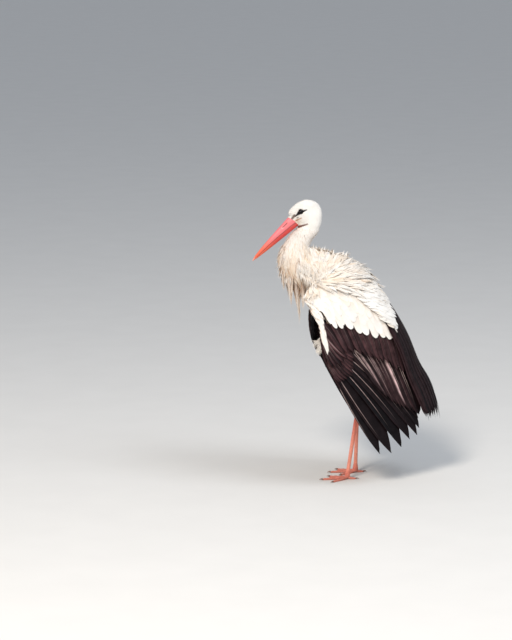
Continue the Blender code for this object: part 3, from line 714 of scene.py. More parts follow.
def makeClaws(sideName, leg):
    rows, columns = legShape["clawGrid"]
    share = np.linspace(0, 1, rows)[:, None]
    turn = fullTurn(columns)
    points, vane = [], []
    for _, degrees, length, root in legShape["toes"]:
        forward = toeHeading(leg, degrees)
        size = root * 0.56 * np.sqrt(np.clip(1.02 - share, 0, 1)) * (1 - 0.35 * share)
        along = length + legShape["clawLength"] * share
        height = 0.0008 + size * 0.9 + 0.0014 * np.sin(math.pi * share * 0.8)
        aside = size * np.cos(turn)
        x = leg["ankleX"] + forward[0] * along - forward[1] * aside
        y = leg["sign"] * legShape["y"] + forward[1] * along + forward[0] * aside
        points.append(joined(x, y, height + 0.85 * size * np.sin(turn)))
        vane.append(joined(aside, along))
    tint = mix(colours["clawRoot"], colours["clawTip"], share[..., None])
    quads = [gridQuads(rows, columns, True) + rows * columns * k for k in range(len(points))]
    mesh = fillMesh(f"claws_{sideName}", np.stack(points), np.stack(quads),
                    np.broadcast_to(tint, (len(points), rows, columns, 3)), vane=np.stack(vane))
    addPiece(f"claws_{sideName}", mesh, clawLook,
             [f"claw_{toe[0]}_{sideName}" for toe in legShape["toes"]])


for sideName, leg in legs.items():
    makeClaws(sideName, leg)
print("bill, eyes and claws made")


def outline(kind, t):  # half width along a feather, 1 at its widest
    root = np.sqrt(np.clip(t / 0.18 + 0.12, 0, 1))
    if kind == "round":
        return root * np.sqrt(np.clip(1 - (np.clip(t - 0.66, 0, 1) / 0.35) ** 2, 0, 1))
    if kind == "blunt":
        return root * np.clip((1.003 - t) / 0.22, 0, 1) ** 0.5
    if kind == "strand":
        swell = 0.55 + 0.45 * np.sin(math.pi * np.clip(t * 1.1, 0, 1))
        return swell * np.clip((1.0 - t) / 0.6, 0, 1) ** 0.8
    if kind == "finger":  # an outer primary, narrowed to a blunt finger
        return root * (1 - 0.10 * ramp(t, 0.60, 0.80)) * np.clip((1.003 - t) / 0.21, 0, 1) ** 0.78
    return root * np.clip((1.0 - t) / 0.55, 0, 1) ** 0.75  # pointed


def runFrame(spine, up):  # across and up at each place of the spines, square to their run
    run = unit(np.gradient(spine, axis=1))
    across = unit(np.cross(run, up))
    return run, across, unit(np.cross(across, run))


def plumage(name, spine, up, half, root, warm, look, nodes=(), places=None, tint=None):
    # one piece of many vanes. spine is (vanes, rows, 3); warm is each vane's share of cream.
    # In the coat's map each vane is a small patch at its root's place on the unwrapped skin.
    count, rows = spine.shape[:2]
    columns = look["columns"]
    t = np.linspace(0, 1, rows) if places is None else places
    run, across, up = runFrame(spine, up)
    u = np.linspace(-1, 1, columns)[None, None, :, None]
    width = np.broadcast_to(half, (count,))[:, None] * outline(look["kind"], t)
    width = width[..., None, None]
    points = spine[:, :, None] + across[:, :, None] * u * width
    points = points + up[:, :, None] * width * (look["roll"] * u - look["camber"] * u**2)
    if look["ragged"]:
        fray = rng.normal(0, 1, (count, rows, columns, 1)) * width * look["ragged"]
        points = points + run[:, :, None] * fray * np.abs(u)
    if tint is None:
        tint = mix(colours["white"], colours["cream"], np.clip(warm, 0, 1)[:, None])
        tint = mix(tint, colours["buff"], np.clip(warm - 1, 0, 1)[:, None])
    if tint.ndim == 2:
        tint = tint[:, None]
    # painted shade and light: each vane is darker towards its root, where the vanes over it shade
    # it, and a little lighter at its tip
    level = (t ** look["shadePower"])[None, :, None, None]
    tint = tint[:, :, None, :] * mix(np.array(colours["rootShade"]) ** look["rootDark"],
                                     np.full(3, look["tipPaintedLight"]), level)
    quads = gridQuads(rows, columns)[None] + (np.arange(count) * rows * columns)[:, None, None]
    patch = joined(np.linspace(0, 1, columns)[None, :], t[:, None])
    bake = root[:, None, None, :] + (patch[None] - 0.5) * 0.003
    size = np.linalg.norm(spine[:, -1] - spine[:, 0], axis=-1)
    spread = width[..., 0] * u[..., 0]
    barb = t[None, :, None] * size[:, None, None] - np.abs(spread)  # barbs slant towards the tip
    vane = np.stack([barb, spread], axis=-1) + rng.uniform(0, 5, (count, 1, 1, 2))
    mesh = fillMesh(name, points, quads, np.broadcast_to(tint, points.shape), bake, vane)
    addPiece(name, mesh, look["material"], nodes)
    print(name, "has", count, "vanes and", len(mesh.polygons) * 2, "triangles")


def whiteLook(kind, columns, camber, **more):
    return {"kind": kind, "columns": columns, "camber": camber, "roll": 0.0, "ragged": 0.0,
            "shadePower": 0.6, "rootDark": 1.0, "tipPaintedLight": 1.03,
            "material": whiteFeather, "slot": "white_plumage", **more}


def chordAt(points):  # nearest chord of the body: its row, the place along it, the way to the tail
    front, back = bodyTable[:, [0, 1]], bodyTable[:, [2, 3]]
    run = back - front
    flat = points[:, [0, 2]]
    t = ((flat[:, None] - front) * run).sum(-1) / (run**2).sum(-1)
    near = front + np.clip(t, 0, 1)[..., None] * run
    row = np.linalg.norm(flat[:, None] - near, axis=-1).argmin(axis=1)
    tailward = unit(run)[row]
    share = t[np.arange(len(points)), row]
    return row / (len(bodyTable) - 1), share, joined(tailward[:, 1], 0, -tailward[:, 0])


def skinPlace(points):  # the skin's own unwrap: round the body, and up it
    turn = np.arctan2(points[..., 1], -(points[..., 0] + 0.09)) / (2 * math.pi) + 0.5
    return joined(0.02 + 0.96 * turn, 0.02 + 0.96 * points[..., 2] / 0.92)


def mantlePlace(p, a, side):
    return joined(0.5 + side["sign"] * (0.04 + a), 0.05 + 1.3 * np.maximum(p + 0.05, 0))


def bodyLie(points):  # the way the coat lies: back from the bill, then down the neck and body
    _, _, tailward = chordAt(points)
    fromBill = points - np.array([-0.2000, 0, 0.8240])
    near = ramp(-np.linalg.norm(fromBill, axis=-1, keepdims=True), -0.085, -0.035)
    lie = unit(fromBill) * near + tailward * (1 - near) * 1.2
    lie = lie + np.array([1.3, 0, 0]) * ramp(points[:, 2:3], 0.850, 0.885)  # back over the crown
    return np.where(points[:, 2:3] > 0.79, lie, tailward)


def thighLie(points):
    return np.tile([0.20, 0.0, -1.0], (len(points), 1))


def limbLie(points):
    return np.tile([0.70, 0.0, -0.70], (len(points), 1))


def nearestSkin(points):
    found = [fleshTree.find_nearest(p) for p in points.tolist()]
    return np.array([f[0] for f in found]), np.array([f[1] for f in found])


def growSpines(roots, normals, lie, length, height, rows, cling, sway):
    # walks from each root with the lie of the coat, rising over the skin
    place, normal = roots - normals * 0.0008, normals
    heading = lie(roots)
    heading = unit(heading - normal * dot(heading, normal))
    heading = unit(heading + np.cross(normal, heading) * sway[:, None])
    spine, up = [place], [normal]
    step = (length / (rows - 1))[:, None]
    for k in range(1, rows):
        t = k / (rows - 1)
        aim = place + heading * step
        surface, found = nearestSkin(aim)
        rise = dot(aim - surface, found)
        wish = height[:, None] * t**0.8
        kept = np.maximum(mix(rise, wish, cling), np.minimum(wish, 0.002 + 0.25 * wish))
        place = surface + found * kept + (aim - surface - found * rise) * (1 - cling)
        along = lie(place)
        along = unit(along - found * dot(along, found))
        along = unit(along + np.cross(found, along) * sway[:, None] * (1 - t))
        heading = unit(mix(heading, along, cling) + [0, 0, -0.1 * t * (1 - cling)])
        heading = unit(heading + found * height[:, None] * (1 - cling) * (1 - t) / length[:, None])
        spine.append(place)
        up.append(found)
    return np.stack(spine, axis=1), np.stack(up, axis=1)


def tuftSpines(roots, normals, tips, tuft):
    # each tuft is a bundle of strands that start round its root and meet towards its tip
    count, each, rows = len(roots), tuft["each"], tuft["rows"]
    reach = unit(tips - roots)
    first = unit(np.cross(normals, reach) + 1e-6)
    second = np.cross(normals, first)
    angle = rng.uniform(0, 2 * math.pi, (count, each, 1))
    wide = tuft["spread"] * np.sqrt(rng.uniform(0, 1, (count, each, 1)))
    aside = first[:, None] * np.cos(angle) + second[:, None] * np.sin(angle)
    start = roots[:, None] + aside * wide - normals[:, None] * 0.001
    share = rng.uniform(tuft["shortest"], 1.0, (count, each, 1))
    end = roots[:, None] + (tips - roots)[:, None] * share
    end = end + rng.normal(0, 1, (count, each, 3)) * tuft["fan"]
    size = np.linalg.norm(end - start, axis=-1, keepdims=True)
    one = start + normals[:, None] * tuft["loft"] + reach[:, None] * size * 0.30
    hang = unit(mix(reach, np.array(tuft["hang"]), tuft["hangShare"]))
    two = end - hang[:, None] * size * 0.33
    t = np.linspace(0, 1, rows)[None, None, :, None]
    start, one, two, end = [v[:, :, None] for v in (start, one, two, end)]
    spine = (1 - t) ** 3 * start + 3 * (1 - t) ** 2 * t * one
    spine = spine + 3 * (1 - t) * t * t * two + t**3 * end
    turns = t * rng.uniform(3, 8, (count, each, 1, 1))
    wave = np.sin(turns + rng.uniform(0, 6.3, (count, each, 1, 1)))
    spine = spine + first[:, None, None] * wave * t * tuft["wave"]
    lean = rng.normal(0, 0.5, (count, each, 1, 1))
    up = unit(normals[:, None, None] + first[:, None, None] * lean) + 0 * spine
    return spine.reshape(-1, rows, 3), up.reshape(-1, rows, 3)


def makeTufts(name, roots, normals, tips, warm, tuft, nodes=()):
    spine, up = tuftSpines(roots, normals, tips, tuft)
    count, each = len(spine), tuft["each"]
    half = tuft["halfWidth"] * rng.uniform(0.7, 1.25, count)
    warm = np.repeat(warm, each) + rng.normal(0, 0.05, count)
    place = np.repeat(skinPlace(roots), each, axis=0) + rng.normal(0, 0.002, (count, 2))
    plumage(name, spine, up, half, place, warm, tuft["look"], nodes)


# Which part of the skin a place belongs to: 0 body, 1 thigh, 2 wing limb
rowAll, shareAll, _ = chordAt(skinPoints)
halfAll = rowAt(bodyTable, rowAll)[:, 4] * 2 * np.sqrt(np.clip(shareAll * (1 - shareAll), 0, 1))
asideAll, highAll = np.abs(skinPoints[:, 1]), skinPoints[:, 2]
legLine = legs["left"]["heelX"] + legShape["lean"] * (highAll - legShape["heelZ"])
region = np.zeros(len(skinPoints), int)
region[(highAll < 0.44) & (shareAll < 0.10) & (np.abs(skinPoints[:, 0] - legLine) < 0.06)
       & (np.abs(asideAll - legShape["y"]) < 0.04)] = 1
region[(asideAll > halfAll + 0.012) & (highAll > 0.34)] = 2


def pickRoots(chance, times=1):  # skin places, thinned by chance and moved a little
    places = np.repeat(skinPoints, times, axis=0)
    keep = rng.uniform(0, 1, len(places)) < np.repeat(chance, times)
    return nearestSkin(places[keep] + rng.normal(0, 0.0011, (keep.sum(), 3)))


def streaks(across, along):  # slow uneven bands that run along the coat, from -1 to 1
    # the coats use these bands as cream streaks, partly their own tone and partly painted shade in
    # the grooves between their locks
    bands = [(17, 1.9, 0.4), (31, 4.7, 1.9), (57, 8.3, 4.0)]
    return sum(np.sin(2 * math.pi * (across * f + along * g) + h) for f, g, h in bands) / 2


# Coats: chance is the share of skin places that carry a feather. Where there are two values, the
# first is for the upper or front end and the second for the other.

headCoat = {
    "lowest": 0.80, "chance": 0.92, "middle": (-0.2, 0, 0.826), "sway": 0.12,
    "length": 0.0092, "halfWidth": 0.0019, "height": 0.0007, "billHalfWidth": 0.0011,
    "look": whiteLook("pointed", 3, 0.12, rootDark=0.12),
}


def coatHead():
    roots, normals = pickRoots(np.where(highAll > headCoat["lowest"], headCoat["chance"], 0.0), 2)
    x, z = roots[:, 0], roots[:, 2]
    ahead, rise = onBill(x, z)
    border = np.interp(rise, *billShape["featherEdge"])
    clear = (capsule(x, z, face["mask"]) > 0.0008) & (capsule(x, z, face["gapeAndCheekShadow"]) > -0.0002)
    clear &= (ahead < border) | (rise < -0.0185)
    roots, normals = roots[clear], normals[clear]
    count = len(roots)
    away = np.linalg.norm(roots - np.array(headCoat["middle"]), axis=1)
    bare = capsule(roots[:, 0], roots[:, 2], face["mask"])
    length = headCoat["length"] * (0.55 + 0.85 * ramp(away, 0.02, 0.09))
    length = length * rng.uniform(0.85, 1.2, count)
    length *= 0.50 + 0.50 * ramp(bare, 0.001, 0.010)
    height = headCoat["height"] + 0.0005 * ramp(away, 0.02, 0.08) + rng.uniform(0, 0.0002, count)
    sway = rng.normal(0, headCoat["sway"], count)
    spine, up = growSpines(roots, normals, bodyLie, length, height, 4, 0.9, sway)
    half = headCoat["halfWidth"] * rng.uniform(0.8, 1.25, count)
    half = half * (0.75 + 0.4 * ramp(away, 0.02, 0.09))
    plumage("headCoat", spine, up, half, skinPlace(roots), None, headCoat["look"],
            tint=faceTint(spine))


def faceTint(spine):  # colours of the face where each point of these feathers lies
    x, z = spine[..., 0], spine[..., 2]
    blush = np.exp(-((x + 0.181) ** 2 + (z - 0.826) ** 2) / 0.011**2)
    warm = 0.04 + 0.8 * blush + rng.normal(0, 0.04, (len(spine), 1))
    tint = mix(colours["white"], colours["cream"], np.clip(warm, 0, 1)[..., None])
    tint = tint * (1 - face["crownShade"] * ramp(z, 0.848, 0.878)[..., None])
    for spot, soft in (("rust", 0.0030), ("gapeAndCheekShadow", 0.0016), ("lore", 0.0030), ("mask", 0.0012)):
        near = ramp(-capsule(x, z, face[spot]), -soft, soft * 0.4)
        tint = mix(tint, colours[spot], 0.9 * near[..., None])
    return tint


def coatBillRoot():  # the small feathers that reach forward over the root of the bill
    spines, ups, roots = [], [], []
    for direction, shape in ((1, billShape["upper"]), (-1, billShape["lower"])):
        along = rng.uniform(-0.006, 0.026, 4600)
        turn = rng.uniform(0.02, math.pi - 0.02, 4600)
        rise, across, _ = billHalf(np.clip(along, 0, 1) / billLength, turn, shape, direction)
        keep = along < np.interp(rise * direction, *billShape["featherEdge"])
        along, rise, across = along[keep], rise[keep], across[keep]
        flat = billBase + billAxis * along[:, None] + billUp * (rise * direction)[:, None]
        place = joined(flat[:, 0], across, flat[:, 1])
        out = billUp * (rise * direction / shape[0] ** 2)[:, None]
        normal = unit(joined(out[:, 0], across / billShape["halfWidth"] ** 2, out[:, 1]))
        t = np.linspace(0, 1, 4)[None, :, None]
        length = rng.uniform(0.0045, 0.0075, (len(along), 1, 1))
        back = np.array([-billAxis[0], 0, -billAxis[1]]) + rng.normal(0, 0.10, (len(along), 1, 3))
        spine = place[:, None] + back * length * t + normal[:, None] * (0.0018 * t**0.8 - 0.0004)
        spines.append(spine)
        ups.append(normal[:, None] + 0 * spine)
        roots.append(place)
    roots = np.vstack(roots)
    half = headCoat["billHalfWidth"] * rng.uniform(0.8, 1.2, len(roots))
    plumage("billRootCoat", np.vstack(spines), np.vstack(ups), half, skinPlace(roots), None,
            headCoat["look"], tint=faceTint(np.vstack(spines)))


neckCoat = {
    "highest": 0.806, "lastRow": 0.66, "chance": (0.75, 0.26), "sway": 0.20,
    "length": (0.016, 0.048), "halfWidth": (0.0017, 0.0032), "height": (0.0026, 0.0072),
    "loose": 0.004, "cream": 0.50, "bands": 0.25, "uneven": (0.05, 0.17), "buff": 0.9,
    "look": whiteLook("strand", 3, 0.25, rootDark=0.8),
}


def coatNeck():
    coat = neckCoat
    chance = mix(*coat["chance"], ramp(-highAll, -0.76, -0.68))
    here = (highAll <= coat["highest"]) & (rowAll < coat["lastRow"]) & (region == 0)
    roots, normals = pickRoots(np.where(here, chance, 0))
    _, share, _ = chordAt(roots)
    z, count = roots[:, 2], len(roots)
    low = ramp(-z, -0.80, -0.70)
    front = ramp(-share, -0.45, -0.10)
    length = mix(*coat["length"], low) * rng.uniform(0.75, 1.3, count)
    half = mix(*coat["halfWidth"], low) * rng.uniform(0.75, 1.25, count)
    height = mix(*coat["height"], low) * rng.uniform(0.7, 1.15, count)
    height += coat["loose"] * front * low * rng.uniform(0, 1, count)
    height *= 1 - 0.55 * front * ramp(-z, -0.685, -0.655)  # the free wisps hang before it there
    sway = rng.normal(0, coat["sway"], count)
    spine, up = growSpines(roots, normals, bodyLie, length, height, 6, 0.62, sway)
    # cream bands, partly the neck's own tone and partly painted shade between its locks
    band = streaks(np.arctan2(roots[:, 1], 0.5 - share) * 0.05, z)
    warm = 0.04 + coat["cream"] * low * ramp(-share, -1.0, -0.3) + coat["bands"] * band * low
    warm += rng.normal(0, 1, count) * mix(*coat["uneven"], low)
    warm += coat["buff"] * (rng.uniform(0, 1, count) < 0.10 * low)
    # painted shade: the fore edge of the neck is made buff, so the gaps between its clumps look
    # shaded
    warm += 1.1 * low * ramp(-share, -0.16, -0.06) * ramp(z, 0.660, 0.685)  # buff fore edge
    warm += 0.45 * front * ramp(-z, -0.72, -0.68) * ramp(z, 0.650, 0.675)
    plumage("neckCoat", spine, up, half, skinPlace(roots), warm, coat["look"])


bodyCoat = {
    "highest": 0.806, "firstRow": 0.62, "chance": 0.13, "sway": 0.12,
    "length": (0.042, 0.055), "halfWidth": (0.0080, 0.0095), "height": (0.0065, 0.0060),
    "look": whiteLook("round", 5, 0.18, ragged=0.05),
}


def coatBody():
    coat = bodyCoat
    here = (highAll <= coat["highest"]) & (rowAll >= coat["firstRow"]) & (region == 0)
    roots, normals = pickRoots(np.where(here, coat["chance"], 0))
    count = len(roots)
    rear = ramp(chordAt(roots)[0], 0.66, 0.95)
    length = mix(*coat["length"], rear) * rng.uniform(0.8, 1.2, count)
    half = mix(*coat["halfWidth"], rear) * rng.uniform(0.8, 1.2, count)
    height = mix(*coat["height"], rear) * rng.uniform(0.6, 1.1, count)
    sway = rng.normal(0, coat["sway"], count)
    spine, up = growSpines(roots, normals, bodyLie, length, height, 5, 0.85, sway)
    warm = 0.25 + rng.normal(0, 0.10, count)
    plumage("bodyCoat", spine, up, half, skinPlace(roots), warm, coat["look"])


legCoat = {
    "lowest": 0.318, "chance": 0.6, "longest": 0.034, "halfWidth": 0.0036, "height": 0.0045,
    "sway": 0.15, "look": whiteLook("pointed", 3, 0.2),
}


def coatThighs():
    here = (region == 1) & (highAll > legCoat["lowest"])
    roots, normals = pickRoots(np.where(here, legCoat["chance"], 0))
    count = len(roots)
    length = np.minimum(legCoat["longest"], 0.010 + (roots[:, 2] - 0.30) * 0.45)
    length = length * rng.uniform(0.8, 1.25, count)
    height = legCoat["height"] * rng.uniform(0.6, 1.3, count)
    sway = rng.normal(0, legCoat["sway"], count)
    spine, up = growSpines(roots, normals, thighLie, length, height, 5, 0.75, sway)
    half = legCoat["halfWidth"] * rng.uniform(0.8, 1.2, count)
    warm = 0.2 + rng.normal(0, 0.1, count)
    plumage("legCoat", spine, up, half, skinPlace(roots), warm, legCoat["look"])


limbCoat = {
    "chance": 0.34, "length": 0.022, "halfWidth": 0.0058, "height": 0.0030, "sway": 0.15,
    "look": whiteLook("round", 3, 0.2),
}
limbCoat["blackLook"] = {**limbCoat["look"], "rootDark": 0.2, "tipPaintedLight": 1.0,
                         "material": blackFeather, "slot": "black_plumage"}


def coatLimbs():
    roots, normals = pickRoots(np.where(region == 2, limbCoat["chance"], 0))
    dark = onHand(roots) > 0.5
    for name, chosen, look in (("wingEdgeCoat", ~dark, "look"), ("handCoat", dark, "blackLook")):
        count = chosen.sum()
        length = limbCoat["length"] * rng.uniform(0.8, 1.25, count)
        height = limbCoat["height"] * rng.uniform(0.6, 1.3, count)
        sway = rng.normal(0, limbCoat["sway"], count)
        spine, up = growSpines(roots[chosen], normals[chosen], limbLie, length, height, 4, 0.8,
                               sway)
        tint = np.tile(colours["black"], (count, 1)) if name == "handCoat" else None
        half = limbCoat["halfWidth"] * rng.uniform(0.8, 1.2, count)
        warm = 0.2 + rng.normal(0, 0.1, count)
        plumage(name, spine, up, half, skinPlace(roots[chosen]), warm, limbCoat[look], tint=tint)


coatHead()
coatBillRoot()
coatNeck()
coatBody()
coatThighs()
coatLimbs()


ruff = {  # loose wisps hang free of throat and breast, in bands: root x, z, tip x, z, y, number
    "bands": [
        (-0.232, 0.690, -0.2225, 0.5985, -0.015, 5), (-0.232, 0.690, -0.2245, 0.610, 0.015, 5),
        (-0.208, 0.672, -0.203, 0.550, -0.042, 9), (-0.214, 0.670, -0.199, 0.565, 0.034, 7),
        (-0.185, 0.640, -0.173, 0.495, -0.036, 11), (-0.190, 0.635, -0.169, 0.520, 0.030, 8),
        (-0.168, 0.635, -0.165, 0.548, -0.052, 8), (-0.168, 0.635, -0.160, 0.550, 0.050, 8),
    ],
    "each": 14, "rows": 10, "spread": 0.0050, "fan": 0.0012, "shortest": 0.5, "loft": 0.005,
    "hang": (0.05, 0, -1), "hangShare": 0.8, "wave": 0.0022, "halfWidth": 0.0012,
    "look": whiteLook("strand", 3, 0.45, rootDark=1.6, shadePower=0.7),
}


def makeRuff():
    starts, tips = [], []
    for rootX, rootZ, tipX, tipZ, y, number in ruff["bands"]:
        aside = y + rng.uniform(-0.011, 0.011, number)
        starts.append(joined(rootX + rng.normal(0, 0.005, number), aside,
                             rootZ + rng.normal(0, 0.016, number)))
        short = rng.uniform(0, 1, number) ** 1.6 * (rootZ - tipZ) * 0.42
        tips.append(joined(tipX + rng.normal(0, 0.0014, number) - short * 0.10,
                           aside * 0.9, tipZ + short))
    roots, normals = nearestSkin(np.vstack(starts))
    warm = 0.45 + rng.normal(0, 0.25, len(roots)) + 0.8 * (rng.uniform(0, 1, len(roots)) < 0.35)
    makeTufts("ruff", roots, normals, np.vstack(tips), warm, ruff, ["beard"])


throatTufts = {
    "count": 90, "each": 13, "rows": 6, "spread": 0.0040, "fan": 0.0006, "shortest": 0.6,
    "loft": 0.002, "hang": (-0.4, 0, -1), "hangShare": 0.25, "wave": 0.0010, "halfWidth": 0.0012,
    "length": (0.018, 0.031), "stand": (0.45, 0.80),  # at the breast, at the throat
    "look": whiteLook("strand", 3, 0.4, rootDark=1.2),
}


def makeThroat():  # short spiky tufts that stand out from throat and fore neck
    spot = (highAll < 0.800) & (highAll > 0.650) & (shareAll < 0.17) & (region == 0)
    chosen = rng.choice(np.flatnonzero(spot), throatTufts["count"])
    roots, normals = nearestSkin(skinPoints[chosen])
    count = len(roots)
    out = ramp(-roots[:, 2], -0.79, -0.74)[:, None]
    stand = mix(*throatTufts["stand"], out)
    way = unit(bodyLie(roots) + normals * stand + rng.normal(0, 0.12, (count, 3)))
    length = mix(*throatTufts["length"], out) * rng.uniform(0.7, 1.2, (count, 1))
    makeTufts("throatTufts", roots + normals * 0.002, normals, roots + way * length,
              0.25 + rng.normal(0, 0.15, count), throatTufts)


napeTufts = {
    "each": 9, "rows": 6, "spread": 0.0050, "fan": 0.0008, "shortest": 0.6, "loft": 0.003,
    "hang": (1, 0, 0.35), "hangShare": 0.35, "wave": 0.0008, "halfWidth": 0.0012,
    "length": (0.027, 0.040), "stand": (0.95, 0.30),  # by the neck, farther down the back
    "look": whiteLook("strand", 3, 0.3, rootDark=0.3),
}


def makeNape(sideName, side):  # tufts that stand up where the neck meets the back
    p = np.concatenate([np.linspace(-0.050, 0.055, 13), rng.uniform(0.05, 0.20, 9)])
    a = np.concatenate([rng.uniform(0.0, 0.040, 13), rng.uniform(0.0, 0.04, 9)])
    count = len(p)
    place, normal, down, around = mantleFrame(p, a, side)
    stepP, stepA = flow(p, a, rng.normal(0, 0.2, count))
    stand = mix(*napeTufts["stand"], ramp(p, -0.01, 0.10))[:, None]
    stand = stand * rng.uniform(0.6, 1.15, (count, 1))
    way = unit(down * stepP[:, None] + around * stepA[:, None] + normal * stand)
    length = mix(*napeTufts["length"], ramp(p, 0.0, 0.1))[:, None]
    length = length * rng.uniform(0.8, 1.2, (count, 1))
    roots = place + normal * mix(-0.002, 0.0070, ramp(p, -0.02, 0.07))[:, None]
    makeTufts(f"napeTufts_{sideName}", roots, normal, roots + way * length,
              0.15 + rng.normal(0, 0.08, count), napeTufts)


bellyTufts = {**napeTufts, "count": 44, "each": 14, "rows": 8, "spread": 0.0085, "fan": 0.0024,
              "hang": (0.1, 0, -1), "hangShare": 0.8, "halfWidth": 0.0024}


def makeBelly():  # loose white feathers that hang from the belly between the wings
    spot = (highAll > 0.428) & (highAll < 0.468) & (shareAll < 0.14)
    spot &= (skinPoints[:, 1] > -0.055) & (skinPoints[:, 1] < 0.045)
    chosen = rng.choice(np.flatnonzero(spot), bellyTufts["count"])
    roots, normals = nearestSkin(skinPoints[chosen])
    count = len(roots)
    low = rng.uniform(0, 1, count) ** 0.8
    x = mix(rng.uniform(-0.136, -0.106, count), rng.uniform(-0.122, -0.104, count), low)
    tips = joined(x, roots[:, 1] * 0.9, mix(0.425, 0.391, low))
    makeTufts("bellyTufts", roots, normals, tips, 0.15 + rng.normal(0, 0.1, count), bellyTufts)


makeRuff()
makeThroat()
makeBelly()


# The cape's feathers spread from a whorl over each shoulder. Between the angles last and first,
# on the neck's side, they hang straight down instead, at the angle collar.

whorl = {"p": 0.0135, "arc": 0.166, "first": -2.45, "last": 1.45, "collar": 0.65, "empty": 0.008,
         "coverts": 0.058}


def aroundWhorl(p, a):  # angle and distance
    stepP, stepA = p - whorl["p"], a - whorl["arc"]
    return np.arctan2(stepA, stepP), np.hypot(stepP, stepA)


def flow(p, a, swing=0.0):  # the way the feathers lie here, as a step in P and arc
    angle, _ = aroundWhorl(p, a)
    ahead = (angle < whorl["first"]) | (angle > whorl["last"])
    angle = np.where(ahead, whorl["collar"], angle) + swing
    stepP, stepA = np.cos(angle), np.sin(angle)
    stepA = np.where(stepA < 0, stepA * ramp(a, -0.012, 0.045), stepA)  # back at the ridge
    size = np.hypot(stepP, stepA) + 1e-6
    return stepP / size, stepA / size


def onCape(p, a):  # clear of the whorl's middle, and not on the neck's side of it
    angle, distance = aroundWhorl(p, a)
    return (distance > whorl["empty"]) & (angle > whorl["first"] - 0.15) & (angle < whorl["last"])


def walk(p, a, length, places, swing):  # P and arc along feathers that follow the flow
    path = [(p, a)]
    for gap in np.diff(places):
        stepP, stepA = flow(p, a, swing)
        p, a = p + stepP * gap * length, a + stepA * gap * length
        path.append((p, a))
    return [np.stack(found, axis=1) for found in zip(*path)]


def capeWarmth(p, a):  # cream and buff streaks that spread from the whorl, strongest by the neck
    # partly the cape's own cream tone, partly painted shade in the grooves between its locks
    angle, distance = aroundWhorl(p, a)
    band = streaks(angle * 0.075, distance * 0.25)
    near = ramp(-p, -0.15, 0.01)
    return 0.12 + 0.32 * near + (0.18 + 0.22 * near) * band


def mantleSpines(rootP, rootA, tipP, tipA, lift, side, places):
    # straight runs over the mantle from root to tip; lift is (feathers, rows)
    t = np.asarray(places)[None, :]
    p = rootP[:, None] + (tipP - rootP)[:, None] * t
    a = rootA[:, None] + (tipA - rootA)[:, None] * t
    return liftedSpines(p, a, lift, side)


def liftedSpines(p, a, lift, side):
    place, normal, _, _ = mantleFrame(p, np.maximum(a, 0.0), side)
    over = np.minimum(a, 0.0)[..., None]  # past the ridge, on to the other side
    return place + normal * lift[..., None] + np.array([0, side["sign"], 0]) * over, normal


scapularCoat = {
    "edge": [(0.000, 0.232), (0.030, 0.236), (0.050, 0.240), (0.066, 0.252), (0.080, 0.280),
             (0.094, 0.305), (0.106, 0.296), (0.120, 0.252), (0.130, 0.205), (0.142, 0.150),
             (0.158, 0.100), (0.172, 0.040)],  # arc, P where the white back feathers end
    "spacing": 0.0074, "scatter": 0.0024, "length": (0.038, 0.070), "halfWidth": (0.0048, 0.0095),
    "lift": (0.003, 0.0100), "swing": 0.10, "buff": 0.45, "buffShare": 0.04,
    "look": whiteLook("pointed", 5, 0.14, roll=0.03, ragged=0.10, rootDark=0.22, shadePower=0.5),
}


def makeScapulars(sideName, side):
    coat, step = scapularCoat, scapularCoat["spacing"]
    edge = np.array(coat["edge"])
    p, a = np.meshgrid(np.arange(-0.020, 0.31, step), np.arange(-0.002, 0.168, step),
                       indexing="ij")
    a = a + (np.arange(p.shape[0]) % 2)[:, None] * step / 2
    p, a = [(v + rng.normal(0, coat["scatter"], v.shape)).ravel() for v in (p, a)]
    room = np.interp(np.maximum(a, 0), edge[:, 0], edge[:, 1]) - p
    keep = (room > 0.020) & onCape(p, a)
    p, a, room = p[keep], a[keep], room[keep]
    count = len(p)
    length = mix(*coat["length"], ramp(p, 0.0, 0.16)) * rng.uniform(0.8, 1.2, count)
    swing = rng.normal(0, coat["swing"], count)
    room = room / np.maximum(flow(p, a, swing)[0], 0.6) + rng.normal(0, 0.004, count)
    length = np.minimum(length, room)
    t = np.linspace(0, 1, 8)
    front = ramp(p, -0.02, 0.07)[:, None]
    top = mix(*coat["lift"], front) * rng.uniform(0.88, 1.04, (count, 1))
    lift = mix(-0.004, top, t[None, :] ** 0.7) - 0.0035 * t[None, :] ** 3
    spine, up = liftedSpines(*walk(p, a, length, t, swing), lift, side)
    half = mix(*coat["halfWidth"], ramp(p, 0.0, 0.2)) * rng.uniform(0.75, 1.25, count)
    warm = capeWarmth(p, a) + rng.normal(0, 0.05, count)
    warm = warm + coat["buff"] * (rng.uniform(0, 1, count) < coat["buffShare"])
    plumage(f"scapulars_{sideName}", spine, up, half, mantlePlace(p, a, side), warm,
            coat["look"], [f"scapulars_{sideName}"])


backPlumes = {
    "cape": 190, "shoulder": 46, "each": 12, "rows": 7, "spread": 0.0070, "halfWidth": 0.0017,
    "length": (0.058, 0.042), "swing": 0.12, "stand": 0.45, "buff": 0.5, "buffShare": 0.06,
    "edge": ([-0.05, 0.03, 0.10, 0.17], [0.22, 0.22, 0.135, 0.12]),  # P, arc where roots end
    "shoulderEnd": ([-0.03, 0.011, 0.031, 0.051], [0.212, 0.222, 0.245, 0.262]),  # and tips
    "look": whiteLook("strand", 3, 0.25, rootDark=0.30, shadePower=0.5),
}


